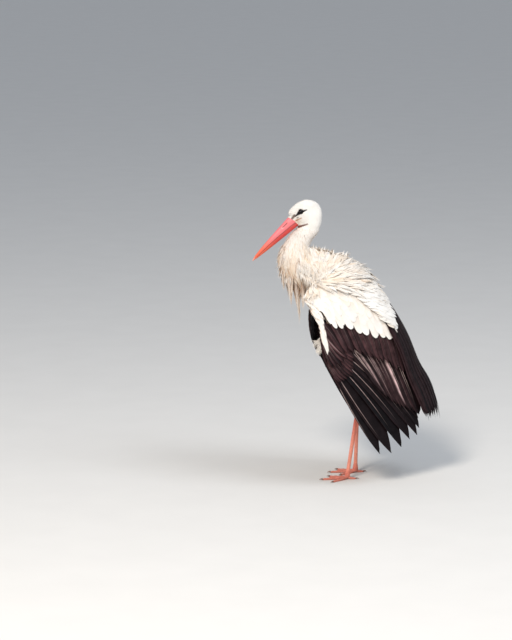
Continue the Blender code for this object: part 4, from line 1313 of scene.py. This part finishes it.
def makeBackPlumes(sideName, side):  # loose plumes over neck base, back and shoulder
    cape, shoulder, each = backPlumes["cape"], backPlumes["shoulder"], backPlumes["each"]
    p = np.concatenate([rng.uniform(-0.050, 0.125, cape), rng.uniform(-0.015, 0.035, shoulder)])
    a = np.concatenate([rng.uniform(0.005, 0.168, cape), rng.uniform(0.150, 0.215, shoulder)])
    keep = (a < np.interp(p, *backPlumes["edge"])) & onCape(p, a)
    p, a = p[keep], a[keep]
    count = len(p)
    swing = rng.normal(0, backPlumes["swing"], count)
    length = mix(*backPlumes["length"], ramp(a, 0.15, 0.18)) * rng.uniform(0.75, 1.15, count)
    room = np.maximum(np.interp(p, *backPlumes["shoulderEnd"]) - a, 0.012)
    room = room / np.maximum(flow(p, a)[1], 0.5)
    length = np.where(a > 0.15, np.minimum(length, room), length)
    stand = rng.uniform(0.0, backPlumes["stand"], count) * ramp(-p, -0.12, 0.02)
    p, a, swing, length, stand = [np.repeat(v, each) for v in (p, a, swing, length, stand)]
    strands = len(p)
    angle = rng.uniform(0, 6.283, strands)
    wide = backPlumes["spread"] * np.sqrt(rng.uniform(0, 1, strands))
    length = length * rng.uniform(0.6, 1.0, strands)
    t = np.linspace(0, 1, backPlumes["rows"])
    pathP, pathA = walk(p, a, length, t, swing)
    close = (1 - 0.7 * t**0.8)[None, :]  # the strands of a plume meet at its tip
    pathP = pathP + (wide * np.cos(angle))[:, None] * close
    pathA = pathA + (wide * np.sin(angle))[:, None] * close
    rest = mix(mix(0.002, 0.0095, ramp(p, -0.02, 0.07)), 0.0005, ramp(a, 0.15, 0.18))[:, None]
    lift = rest + mix(-0.005, 0.0015, t[None, :] ** 0.6) + rng.normal(0, 0.0006, (strands, 1))
    lift = lift + (stand * length * 0.22)[:, None] * t**2
    spine, up = liftedSpines(pathP, pathA, lift, side)
    lean = rng.normal(0, 0.35, (strands, 1, 1))
    up = up + np.cross(up, unit(np.gradient(spine, axis=1))) * lean
    half = backPlumes["halfWidth"] * rng.uniform(0.7, 1.25, strands)
    warm = capeWarmth(p, a) + np.repeat(rng.normal(0, 0.10, count), each)
    warm = warm + rng.normal(0, 0.04, strands)
    buff = np.repeat(rng.uniform(0, 1, count) < backPlumes["buffShare"], each)
    plumage(f"backPlumes_{sideName}", spine, up, half, mantlePlace(p, a, side),
            warm + backPlumes["buff"] * buff, backPlumes["look"])


collar = {
    "number": 92, "each": 12, "rows": 8, "spread": 0.0060, "fan": 0.0024, "shortest": 0.75,
    "loft": 0.008, "hang": (0.25, 0, -1), "hangShare": 0.6, "wave": 0.0012, "halfWidth": 0.0015,
    "reach": 0.042, "look": whiteLook("strand", 3, 0.25, rootDark=0.5),
}


def makeCollar(sideName, side):  # long feathers of the neck's side that fall over the whorl
    number = collar["number"]
    turn = rng.uniform(0, 6.283, number)
    reach = collar["reach"] * np.sqrt(rng.uniform(0, 1, number))
    p = whorl["p"] - 0.006 + reach * np.cos(turn)
    a = whorl["arc"] - 0.008 + reach * np.sin(turn)
    place, normal, _, _ = mantleFrame(p, a, side)
    tips = place + normal * rng.uniform(0.004, 0.009, (number, 1))
    starts = tips + joined(rng.uniform(-0.020, -0.004, number), 0,
                           rng.uniform(0.042, 0.062, number))
    starts[:, 1] *= 0.8
    roots, normals = nearestSkin(starts)
    warm = 0.26 + 0.2 * streaks(a, p) + rng.normal(0, 0.12, number)
    makeTufts(f"collar_{sideName}", roots, normals, tips, warm, collar)


# Places as P and arc: where the white coverts' last row ends, where the first row ends, and
# where the black ones below them end. Pairs of values are for the last row and the first.

covertShape = {
    "boundary": [(0.104, 0.240), (0.124, 0.250), (0.148, 0.259), (0.173, 0.243), (0.207, 0.217),
                 (0.246, 0.193), (0.282, 0.170), (0.312, 0.138), (0.327, 0.118), (0.332, 0.099),
                 (0.318, 0.084)],
    "edge": [(0.052, 0.236), (0.030, 0.228), (0.010, 0.216), (-0.004, 0.203), (-0.006, 0.165),
             (0.030, 0.130), (0.090, 0.100), (0.150, 0.082), (0.200, 0.070), (0.240, 0.062),
             (0.262, 0.058)],
    "greater": [(0.222, 0.290), (0.246, 0.264), (0.292, 0.229), (0.322, 0.208), (0.350, 0.188),
                (0.388, 0.162), (0.420, 0.140), (0.436, 0.108)],
    "whiteRows": 13, "spacing": (0.0215, 0.0105), "length": (0.074, 0.040), "swing": 0.09,
    "look": whiteLook("round", 7, 0.16, roll=0.03, ragged=0.06, rootDark=0.36),
}
covertBoundary = smoothRows(covertShape["boundary"], 8)
covertEdge = smoothRows(covertShape["edge"], 8)
greaterTips = smoothRows(covertShape["greater"], 8)
roundPlaces = np.array([0, 0.2, 0.4, 0.58, 0.72, 0.83, 0.91, 0.965, 1.0])


def makeCoverts(sideName, side):
    found = []
    for r in range(covertShape["whiteRows"]):
        share = r / covertShape["whiteRows"]
        tips = covertBoundary * (1 - share) + covertEdge * share
        wide = mix(*covertShape["spacing"], share**0.7)
        number = int(np.linalg.norm(np.diff(tips, axis=0), axis=1).sum() / wide)
        at = (np.arange(number) + 0.5 * (r % 2) + 0.25 + rng.normal(0, 0.14, number)) / number
        line = rowAt(tips, at)
        toward = joined(*flow(*line.T, rng.normal(0, covertShape["swing"], number)))
        rear = ramp(line[:, :1], 0.08, 0.22)
        straight = unit(rowAt(covertBoundary, at) - rowAt(covertEdge, at))
        toward = unit(mix(toward, straight, rear))
        tip = line + toward * rng.normal(0, 0.0018, number)[:, None]
        small = ramp(line[:, 1], 0.19, 0.27) * 0.45  # smaller towards the wrist
        clear = aroundWhorl(*line.T)[1] > whorl["coverts"]
        size = mix(*covertShape["length"], share**0.8) * rng.uniform(0.9, 1.1, number)
        root = tip - toward * (size * (1 - 0.6 * small))[:, None]
        half = wide * 0.70 * rng.uniform(0.88, 1.1, number) * (1 - small)
        found.append(np.column_stack([root, tip, np.full(number, share), half])[clear])
    rootP, rootA, tipP, tipA, share, half = np.vstack(found).T
    count, t = len(rootP), roundPlaces
    top = -0.0020 + 0.0075 * ramp(-tipA, -0.125, -0.06)[:, None] + rng.normal(0, 0.0005, (count, 1))
    lift = mix(top - 0.0045, top, t[None, :] ** 0.8) - 0.0016 * t[None, :] ** 4
    spine, up = mantleSpines(rootP, np.maximum(rootA, 0.0), tipP, tipA, lift, side, t)
    warm = 0.14 + 0.16 * share + 0.14 * streaks(tipA, tipP * 0.5) + rng.normal(0, 0.10, count)
    plumage(f"coverts_{sideName}", spine, up, half, mantlePlace(rootP, rootA, side), warm,
            covertShape["look"], [f"coverts_{sideName}"], t)


# Big feathers, in rows of root P and arc, middle P and arc, tip P and arc, from the outermost in.
# lift is at root and tip, stack the rise from the first feather to the last, lead the share of the
# leading web, silver the paleness of the leading webs and sheen the painted plum sheen over each
# vane, both from the first feather to the last, and rim the painted sheen along each vane's edge.
# vanes holds what most of the rows share; each row gives its own value where it differs.

vanes = {
    "node": None, "stack": 0.0, "kind": "blunt", "roll": 0.12, "camber": 0.08, "grid": (12, 9),
    "shaft": 0.0006, "shaftFade": 0.75, "rim": 0.35, "tear": 0.003, "byArc": False,
}
bigFeathers = {
    "primaries": {**vanes,
        "rows": [
            (0.215, 0.340, 0.385, 0.3535, 0.528, 0.345), (0.212, 0.334, 0.400, 0.340, 0.562, 0.304),
            (0.205, 0.322, 0.400, 0.290, 0.584, 0.256), (0.195, 0.307, 0.395, 0.261, 0.591, 0.211),
            (0.185, 0.294, 0.392, 0.233, 0.605, 0.174), (0.176, 0.285, 0.375, 0.219, 0.594, 0.158),
            (0.168, 0.280, 0.360, 0.218, 0.568, 0.152), (0.162, 0.276, 0.345, 0.220, 0.540, 0.154),
            (0.156, 0.273, 0.330, 0.223, 0.512, 0.160), (0.152, 0.270, 0.315, 0.227, 0.484, 0.172),
        ],
        "number": 10, "node": "primaries", "lift": (-0.0220, -0.0215), "stack": 0.0050,
        "halfWidth": (0.0310, 0.0340, 0.0310, 0.0260), "lead": (0.11, 0.46), "kind": "finger",
        "roll": 0.06, "camber": 0.05, "grid": (30, 11), "shaft": 0.0009, "shaftFade": 0.25,
        "rim": 0.20, "tear": 0.0015, "silver": [0.0] * 5 + [0.35, 0.45, 0.3, 0.4, 0.3],
        "sheen": [0.10, 0.05, 0.15, 0.05, 0.10],
    },
    "secondaries": {**vanes,
        "rows": [
            (0.150, 0.270, 0.300, 0.250, 0.402, 0.228), (0.165, 0.250, 0.310, 0.244, 0.425, 0.226),
            (0.180, 0.228, 0.330, 0.224, 0.448, 0.215), (0.195, 0.205, 0.350, 0.208, 0.472, 0.205),
            (0.205, 0.185, 0.365, 0.192, 0.494, 0.194), (0.215, 0.165, 0.385, 0.174, 0.514, 0.181),
            (0.225, 0.145, 0.400, 0.156, 0.532, 0.170), (0.232, 0.128, 0.415, 0.140, 0.550, 0.158),
            (0.240, 0.112, 0.430, 0.126, 0.567, 0.146),
        ],
        "number": 13, "node": "secondaries", "lift": (-0.0200, -0.0135), "stack": 0.0045,
        "halfWidth": (0.0210, 0.0240), "lead": (0.60, 0.60), "roll": 0.08, "camber": 0.05,
        "grid": (22, 11), "shaft": 0.0015, "shaftFade": 0.0, "rim": 0.15, "tear": 0.004,
        "silver": [0.75, 0.05, 0.75, 0.05, 0.7, 0.05, 0.15, 0.1, 1.35, 0.05, 0.7, 0.05, 0.1],
        "sheen": [0.3, 0.2, 0.4, 0.2, 0.4, 0.3, 0.5, 0.4, 0.4, 0.3, 0.2, 0.3, 0.2],
    },
    "greaterCoverts": {**vanes,  # their rows follow from the coverts' outlines below
        "number": 15, "lift": (-0.0115, -0.0062), "stack": 0.0015, "length": 0.110,
        "halfWidth": (0.0150, 0.0185), "lead": (0.8, 0.8), "roll": 0.14, "shaftFade": 0.85,
        "rim": 0.55, "tear": 0.005, "silver": [0.0, 0.12, 0.03, 0.15, 0.05, 0.10, 0.0, 0.12],
        "sheen": [0.7, 0.9, 0.6, 0.8, 0.5, 0.9, 0.6, 1.0, 0.5, 0.8, 0.6, 0.8, 0.4, 0.6, 0.4],
    },
    "edgeCoverts": {**vanes,
        "rows": [
            (0.120, 0.284, 0.140, 0.304, 0.165, 0.325), (0.148, 0.308, 0.170, 0.326, 0.196, 0.341),
            (0.178, 0.328, 0.205, 0.342, 0.232, 0.349), (0.215, 0.342, 0.240, 0.348, 0.268, 0.353),
            (0.245, 0.347, 0.275, 0.352, 0.310, 0.3555),
        ],
        "number": 12, "lift": (-0.0180, -0.0125), "halfWidth": (0.0075, 0.0060),
        "lead": (0.7, 0.7), "kind": "pointed", "roll": 0.1, "camber": 0.15, "grid": (8, 5),
        "shaft": 0.0004, "shaftFade": 1.0, "rim": 0.6, "tear": 0.001,
        "silver": [0.0], "sheen": [0.5],
    },
    "primaryCoverts": {**vanes,
        "rows": [
            (0.190, 0.338, 0.232, 0.348, 0.276, 0.351), (0.180, 0.332, 0.232, 0.338, 0.286, 0.334),
            (0.168, 0.322, 0.230, 0.320, 0.294, 0.312), (0.156, 0.309, 0.222, 0.302, 0.294, 0.293),
            (0.146, 0.297, 0.208, 0.289, 0.275, 0.278), (0.138, 0.287, 0.196, 0.278, 0.256, 0.264),
        ],
        "number": 11, "lift": (-0.0165, -0.0105), "stack": 0.0012,
        "halfWidth": (0.0085, 0.0110), "lead": (0.5, 0.7),
        "silver": [0.0, 0.05, 0.15, 0.0, 0.18, 0.05, 0.12],
        "sheen": [0.8, 1.1, 0.6, 1.2, 0.8, 1.0],
    },
    "alula": {**vanes,
        "rows": [
            (0.138, 0.308, 0.180, 0.332, 0.222, 0.344), (0.130, 0.300, 0.184, 0.321, 0.240, 0.325),
            (0.122, 0.292, 0.182, 0.306, 0.250, 0.302), (0.116, 0.285, 0.176, 0.292, 0.246, 0.277),
        ],
        "number": 5, "node": "hand", "lift": (-0.0110, -0.0075), "stack": 0.0015,
        "halfWidth": (0.0080, 0.0130), "lead": (0.5, 0.6), "grid": (14, 9), "shaftFade": 0.6,
        "rim": 0.4, "silver": [0.05, 0.15, 0.1, 0.3, 0.55], "sheen": [0.3, 0.6, 0.4, 0.9, 1.2],
    },
    "tertials": {**vanes,
        "rows": [
            (0.245, 0.104, 0.440, 0.115, 0.574, 0.138), (0.238, 0.090, 0.440, 0.100, 0.584, 0.120),
            (0.228, 0.072, 0.440, 0.082, 0.594, 0.102), (0.216, 0.050, 0.440, 0.059, 0.604, 0.078),
            (0.205, 0.028, 0.440, 0.034, 0.616, 0.050), (0.198, 0.008, 0.440, 0.010, 0.623, 0.018),
        ],
        "number": 8, "node": "tertials", "lift": (-0.0020, 0.0030), "stack": 0.0020,
        "halfWidth": (0.0270, 0.0200), "lead": (0.75, 0.80), "roll": 0.08, "camber": 0.06,
        "grid": (26, 9), "shaftFade": 0.8, "tear": 0.009, "byArc": True,
        "silver": [0.10, 0.0, 0.06, 0.0, 0.03], "sheen": [0.4, 0.1, 0.35, 0.1, 0.3, 0.1],
    },
}
ninth = np.linspace(0, 1, 9)
covertWay = unit(rowAt(covertBoundary, ninth) - rowAt(covertEdge, ninth))
covertWay = covertWay * bigFeathers["greaterCoverts"]["length"]
bigFeathers["greaterCoverts"]["rows"] = [(*(tip - way), *(tip - way / 2), *tip)
                                         for tip, way in zip(rowAt(greaterTips, ninth), covertWay)]


def bigFeatherLines(group, t):  # P and arc along each feather, as a curve through its middle
    at = (np.arange(group["number"]) + 0.5) / group["number"]
    line = rowAt(smoothRows(group["rows"], 8), at).reshape(-1, 3, 2)
    if not group["byArc"]:
        line[..., 1] = depthOf(line[..., 0], line[..., 1])
    root, middle, tip = [line[:, k, None, :] for k in range(3)]
    bend = 2 * middle - (root + tip) / 2
    t = t[None, :, None]
    p, q = np.moveaxis((1 - t) ** 2 * root + 2 * t * (1 - t) * bend + t * t * tip, -1, 0)
    return p, q if group["byArc"] else arcOf(p, q)


def spanned(values, order):  # values spread from the first feather to the last
    return np.interp(order, np.linspace(0, 1, len(values)), values)


def webColours(group, order, t, u):
    order4, u4, t4 = order[:, None, None, None], u[None, None, :, None], t[None, :, None, None]
    sheen = spanned(group["sheen"], order4) + rng.normal(0, 0.08, order4.shape)
    silver = spanned(group["silver"], order4)
    # painted sheen: teal and plum sheen over each vane, strongest on the leading web, and plum
    # sheen along its rim; the silver of the leading webs is the feathers' own colour
    tint = mix(colours["black"], colours["tealSheen"], 0.5 * ramp(u4, -0.5, 0.5))
    plumSheen = np.clip(sheen, 0, 1.6) * (0.35 + 0.65 * ramp(u4, -0.3, 0.7))
    tint = mix(tint, colours["plumSheen"], plumSheen)
    wide = 0.30 + 0.65 * np.clip(silver, 0, 1) ** 3
    web = ramp(u4, 0.0, 0.10) * ramp(-u4, -wide, -0.55 * wide)
    web = web * ramp(t4, 0.10, 0.35) * ramp(-t4, -0.97, -0.75)
    tint = mix(tint, colours["silver"], silver * web)
    return mix(tint, colours["plumSheen"], ramp(np.abs(u4), 0.75, 1.0) * group["rim"])


def makeBigFeathers(groupName, sideName, side):
    group = bigFeathers[groupName]
    number, (rows, columns) = group["number"], group["grid"]
    order = np.arange(number) / max(1, number - 1)
    t = np.linspace(0, 1, rows) ** 0.9
    u = np.linspace(-1, 1, columns)
    p, a = bigFeatherLines(group, t)
    lift = mix(*group["lift"], t[None, :]) + group["stack"] * order[:, None]
    lift = lift + rng.normal(0, 0.0003, (number, 1))
    spine, normal = liftedSpines(p, a, lift, side)
    run, across, up = runFrame(spine, normal)
    across = (across * -side["sign"])[:, :, None]  # u = 1 is the leading web on both wings
    up = (up * np.where(dot(up, normal) < 0, -1, 1))[:, :, None]
    run, middle = run[:, :, None], spine[:, :, None]
    t4, u4 = t[None, :, None, None], u[None, None, :, None]
    lead = mix(*group["lead"], ramp(order, 0.0, 0.25))[:, None, None, None]
    reach = np.where(u4 > 0, u4 * lead, u4 * (2 - lead))
    width = spanned(group["halfWidth"], order) * rng.uniform(0.96, 1.04, number)
    width = width[:, None, None, None] * outline(group["kind"], t4)
    curve = group["roll"] * reach - group["camber"] * reach**2
    points = middle + across * reach * width + up * width * curve
    torn = rng.normal(0, 1, (number, 1, columns, 1)) * t4**4 * group["tear"]
    frayed = rng.normal(0, 0.0010, (number, rows, columns, 1)) * (np.abs(u4) > 0.5)
    points = points + run * (torn + frayed * (t4 > 0.3))
    tint = webColours(group, order, t, u)

    # a thin pale shaft stands along the middle of each vane
    thick = group["shaft"] * (1.05 - t4) + 0.0003
    u3 = np.array([-1.0, 0.0, 1.0])[None, None, :, None]
    shaft = middle + across * u3 * thick + up * (thick * 0.9 * (1 - np.abs(u3)) + 0.00025)
    fade = group["shaftFade"] + (1 - group["shaftFade"]) * ramp(t4, 0.45, 0.85)
    shaftTint = mix(colours["shaft"], tint[:, :, columns // 2:columns // 2 + 1], fade)
    each = np.arange(number)[:, None, None]
    quads = [gridQuads(rows, columns)[None] + each * rows * columns,
             gridQuads(rows, 3)[None] + each * rows * 3 + number * rows * columns]
    left, high = each / number, (0.02 + 0.96 * t)[None, :, None]
    bake = [joined(left + np.linspace(low, top, n) / number, high)
            for low, top, n in ((0.04, 0.80, columns), (0.86, 0.96, 3))]
    size = np.linalg.norm(spine[:, -1] - spine[:, 0], axis=-1)[:, None, None]
    spread = (reach * width)[..., 0]
    vane = joined(t[None, :, None] * size - np.abs(spread), spread)
    vane = [vane + rng.uniform(0, 5, (number, 1, 1, 2)), np.zeros((number, rows, 3, 2))]
    tints = [np.broadcast_to(tint, points.shape), np.broadcast_to(shaftTint, shaft.shape)]
    points, quads, tints, bake, vane = [
        np.vstack([part.reshape(-1, part.shape[-1]) for part in pair])
        for pair in ((points, shaft), quads, tints, bake, vane)]
    mesh = fillMesh(f"{groupName}_{sideName}", points, quads, tints, bake, vane)
    addPiece(f"{groupName}_{sideName}", mesh, blackFeather,
             [f"{group['node']}_{sideName}"] if group["node"] else [])


underwing = {
    "spacing": 0.0105, "scatter": 0.002, "length": (0.035, 0.050), "halfWidth": 0.0100,
    "frontEdge": ([0.10, 0.16, 0.21, 0.25], [0.07, 0.03, 0.03, 0.06]),  # arc, P
    "backEdge": ([0.10, 0.18, 0.25], [0.30, 0.25, 0.19]),
    "depth": ([0.03, 0.08, 0.14], [0.030, 0.036, 0.046]),  # P, depth under the mantle
    "look": whiteLook("round", 5, 0.12, roll=0.05, ragged=0.05),
}


def makeUnderwing(sideName, side):  # white lining of the inner wing
    step, scatter = underwing["spacing"], underwing["scatter"]
    p, a = np.meshgrid(np.arange(0.03, 0.26, step), np.arange(0.10, 0.25, step))
    p, a = [v.ravel() + rng.normal(0, scatter, v.size) for v in (p, a)]
    keep = p > np.interp(a, *underwing["frontEdge"])
    keep &= p < np.interp(a, *underwing["backEdge"])
    p, a = p[keep], a[keep]
    count, t = len(p), np.linspace(0, 1, 5)
    length = rng.uniform(*underwing["length"], count)
    depth = np.interp(p, *underwing["depth"])[:, None]
    lift = mix(-depth + 0.010, -depth, t[None, :] ** 0.7) + rng.normal(0, 0.0008, (count, 1))
    spine, up = mantleSpines(p, a, p + length, a + length * 0.1, lift, side, t)
    half = underwing["halfWidth"] * rng.uniform(0.85, 1.15, count)
    plumage(f"underwing_{sideName}", spine, -up, half, mantlePlace(p, a, side) * [1, 0.5],
            0.2 + rng.normal(0, 0.08, count), underwing["look"])


wingStripe = {
    "rows": [(0.034, 0.226), (0.060, 0.243), (0.082, 0.260), (0.104, 0.277), (0.128, 0.292),
             (0.148, 0.303), (0.164, 0.313)],  # P, arc
    "number": 92, "scatter": 0.0038, "length": (0.034, 0.024), "halfWidth": (0.0056, 0.0030),
    "inward": {"left": 0.0, "right": 0.034},
    "look": whiteLook("pointed", 5, 0.2, roll=0.05, ragged=0.05, rootDark=0.5),
}


def makeWingStripe(sideName, side):  # the white feathers along the wrist's leading edge
    number = wingStripe["number"]
    at = np.linspace(0, 1, number)
    line = rowAt(smoothRows(wingStripe["rows"], 6), at)
    line = line + rng.normal(0, wingStripe["scatter"], (number, 2))
    line[:, 1] -= 0.008 * rng.uniform(0, 1, number) * (1 - at)
    line[:, 1] -= wingStripe["inward"][sideName]
    p, a = line.T
    length = mix(*wingStripe["length"], at) * rng.uniform(0.85, 1.2, number)
    t = np.linspace(0, 1, 6)
    top = mix(-0.0035, -0.0050, at)[:, None]
    lift = mix(top - 0.004, top, t[None, :] ** 0.7)
    spine, up = mantleSpines(p, a, p + length * 0.86, a + length * 0.50, lift, side, t)
    plumage(f"wingStripe_{sideName}", spine, up, mix(*wingStripe["halfWidth"], at),
            mantlePlace(p, a, side), 0.15 + rng.normal(0, 0.08, number), wingStripe["look"])


for sideName, side in sides.items():
    makeNape(sideName, side)
    makeScapulars(sideName, side)
    makeBackPlumes(sideName, side)
    makeCollar(sideName, side)
    makeCoverts(sideName, side)
    makeUnderwing(sideName, side)
    makeWingStripe(sideName, side)
    for groupName in bigFeathers:
        makeBigFeathers(groupName, sideName, side)
    print(sideName, "wing made")


tail = {"root": (0.150, 0.372), "tip": (0.243, 0.240), "number": 12, "rows": 14,
        "spread": (0.016, 0.040), "halfWidth": 0.0120,
        "look": whiteLook("blunt", 7, 0.12, ragged=0.03)}


def makeTail():  # twelve white feathers, closed, under the black ones
    order = np.linspace(-1, 1, tail["number"])
    t = np.linspace(0, 1, tail["rows"])
    root, tip = np.array(tail["root"]), np.array(tail["tip"])
    axis = unit(tip - root)
    lift = np.array([-axis[1], 0, axis[0]])
    reach = (1 - 0.06 * order**2)[:, None] * t[None, :]
    x = root[0] + (tip - root)[0] * reach
    z = root[1] + (tip - root)[1] * reach
    y = order[:, None] * mix(*tail["spread"], t)[None, :]
    high = 0.003 * (1 - np.abs(order)) - 0.010 * order**2
    spine = joined(x, y, z) + lift * high[:, None, None]
    up = lift + 0.3 * joined(0, y / 0.05, 0)
    plumage("tail", spine, up, tail["halfWidth"], skinPlace(spine[:, 0]),
            0.1 + 0.05 * np.abs(order), tail["look"], ["tail"])


makeTail()


studio = {
    "floor": (0.74, 0.71, 0.67), "floorHalf": 90.0, "world": (0.80, 0.88, 1.0),
    "worldStrength": 0.50, "lampAim": (0, 0, 0.45),
    "lamps": {  # place, watts, size, colour
        "key": ((-2.4, -4.4, 5.0), 350.0, 1.6, (1.0, 0.95, 0.88)),
        "fill": ((3.2, -2.6, 5.2), 150.0, 3.0, (0.85, 0.92, 1.0)),
    },
    "azimuth": -7.0, "elevation": 10.0, "distance": 9.0, "lens": 158.0,
    "aimRight": -0.307, "aimUp": 0.499,
}


def makeFloor():
    mesh = bpy.data.meshes.new("floor")
    half = studio["floorHalf"]
    corners = [(-half, -half, 0), (half, -half, 0), (half, half, 0), (-half, half, 0)]
    mesh.from_pydata(corners, [], [(0, 1, 2, 3)])
    material, tree, shader = newMaterial("pale floor", 0.9, Specular_IOR_Level=0.2)
    place = addNode(tree, "TexCoord").outputs["Object"]
    grain = addNode(tree, "TexNoise", place, Scale=6.0, Detail=6.0)
    blend = addNode(tree, "Mix", grain, data_type="RGBA")
    for socket, light in ((6, 0.97), (7, 1.03)):
        blend.inputs[socket].default_value = (*[c * light for c in studio["floor"]], 1)
    tree.links.new(blend.outputs[2], shader.inputs["Base Color"])
    mesh.materials.append(material)
    floor = bpy.data.objects.new("floor", mesh)
    bpy.context.scene.collection.objects.link(floor)


def makeLamp(name, place, energy, size, colour):
    light = bpy.data.lights.new(name, "AREA")
    light.energy, light.size, light.color = energy, size, colour
    lamp = bpy.data.objects.new(name, light)
    lamp.location = place
    aim = Vector(studio["lampAim"]) - Vector(place)
    lamp.rotation_euler = aim.to_track_quat("-Z", "Y").to_euler()
    bpy.context.scene.collection.objects.link(lamp)


def makeCamera():
    azimuth, elevation = math.radians(studio["azimuth"]), math.radians(studio["elevation"])
    right = Vector((math.cos(azimuth), math.sin(azimuth), 0))
    back = Vector((math.sin(azimuth) * math.cos(elevation),
                   -math.cos(azimuth) * math.cos(elevation), math.sin(elevation)))
    aim = Vector((shiftX, 0, 0)) + right * studio["aimRight"]
    aim = aim + back.cross(right) * studio["aimUp"]
    camera = bpy.data.cameras.new("camera")
    camera.lens, camera.sensor_width, camera.clip_end = studio["lens"], 36.0, 400.0
    eye = bpy.data.objects.new("camera", camera)
    eye.location = aim + back * studio["distance"]
    eye.rotation_euler = back.to_track_quat("Z", "Y").to_euler()
    bpy.context.scene.collection.objects.link(eye)
    bpy.context.scene.camera = eye


def makeWorld():
    world = bpy.data.worlds.new("studio")
    world.use_nodes = True
    sky = world.node_tree.nodes["Background"]
    sky.inputs["Color"].default_value = (*studio["world"], 1)
    sky.inputs["Strength"].default_value = studio["worldStrength"]
    bpy.context.scene.world = world
    bpy.context.scene.view_settings.view_transform = "Standard"


makeFloor()
for lampName, lampValues in studio["lamps"].items():
    makeLamp(lampName, *lampValues)
makeWorld()
makeCamera()
print("studio set")
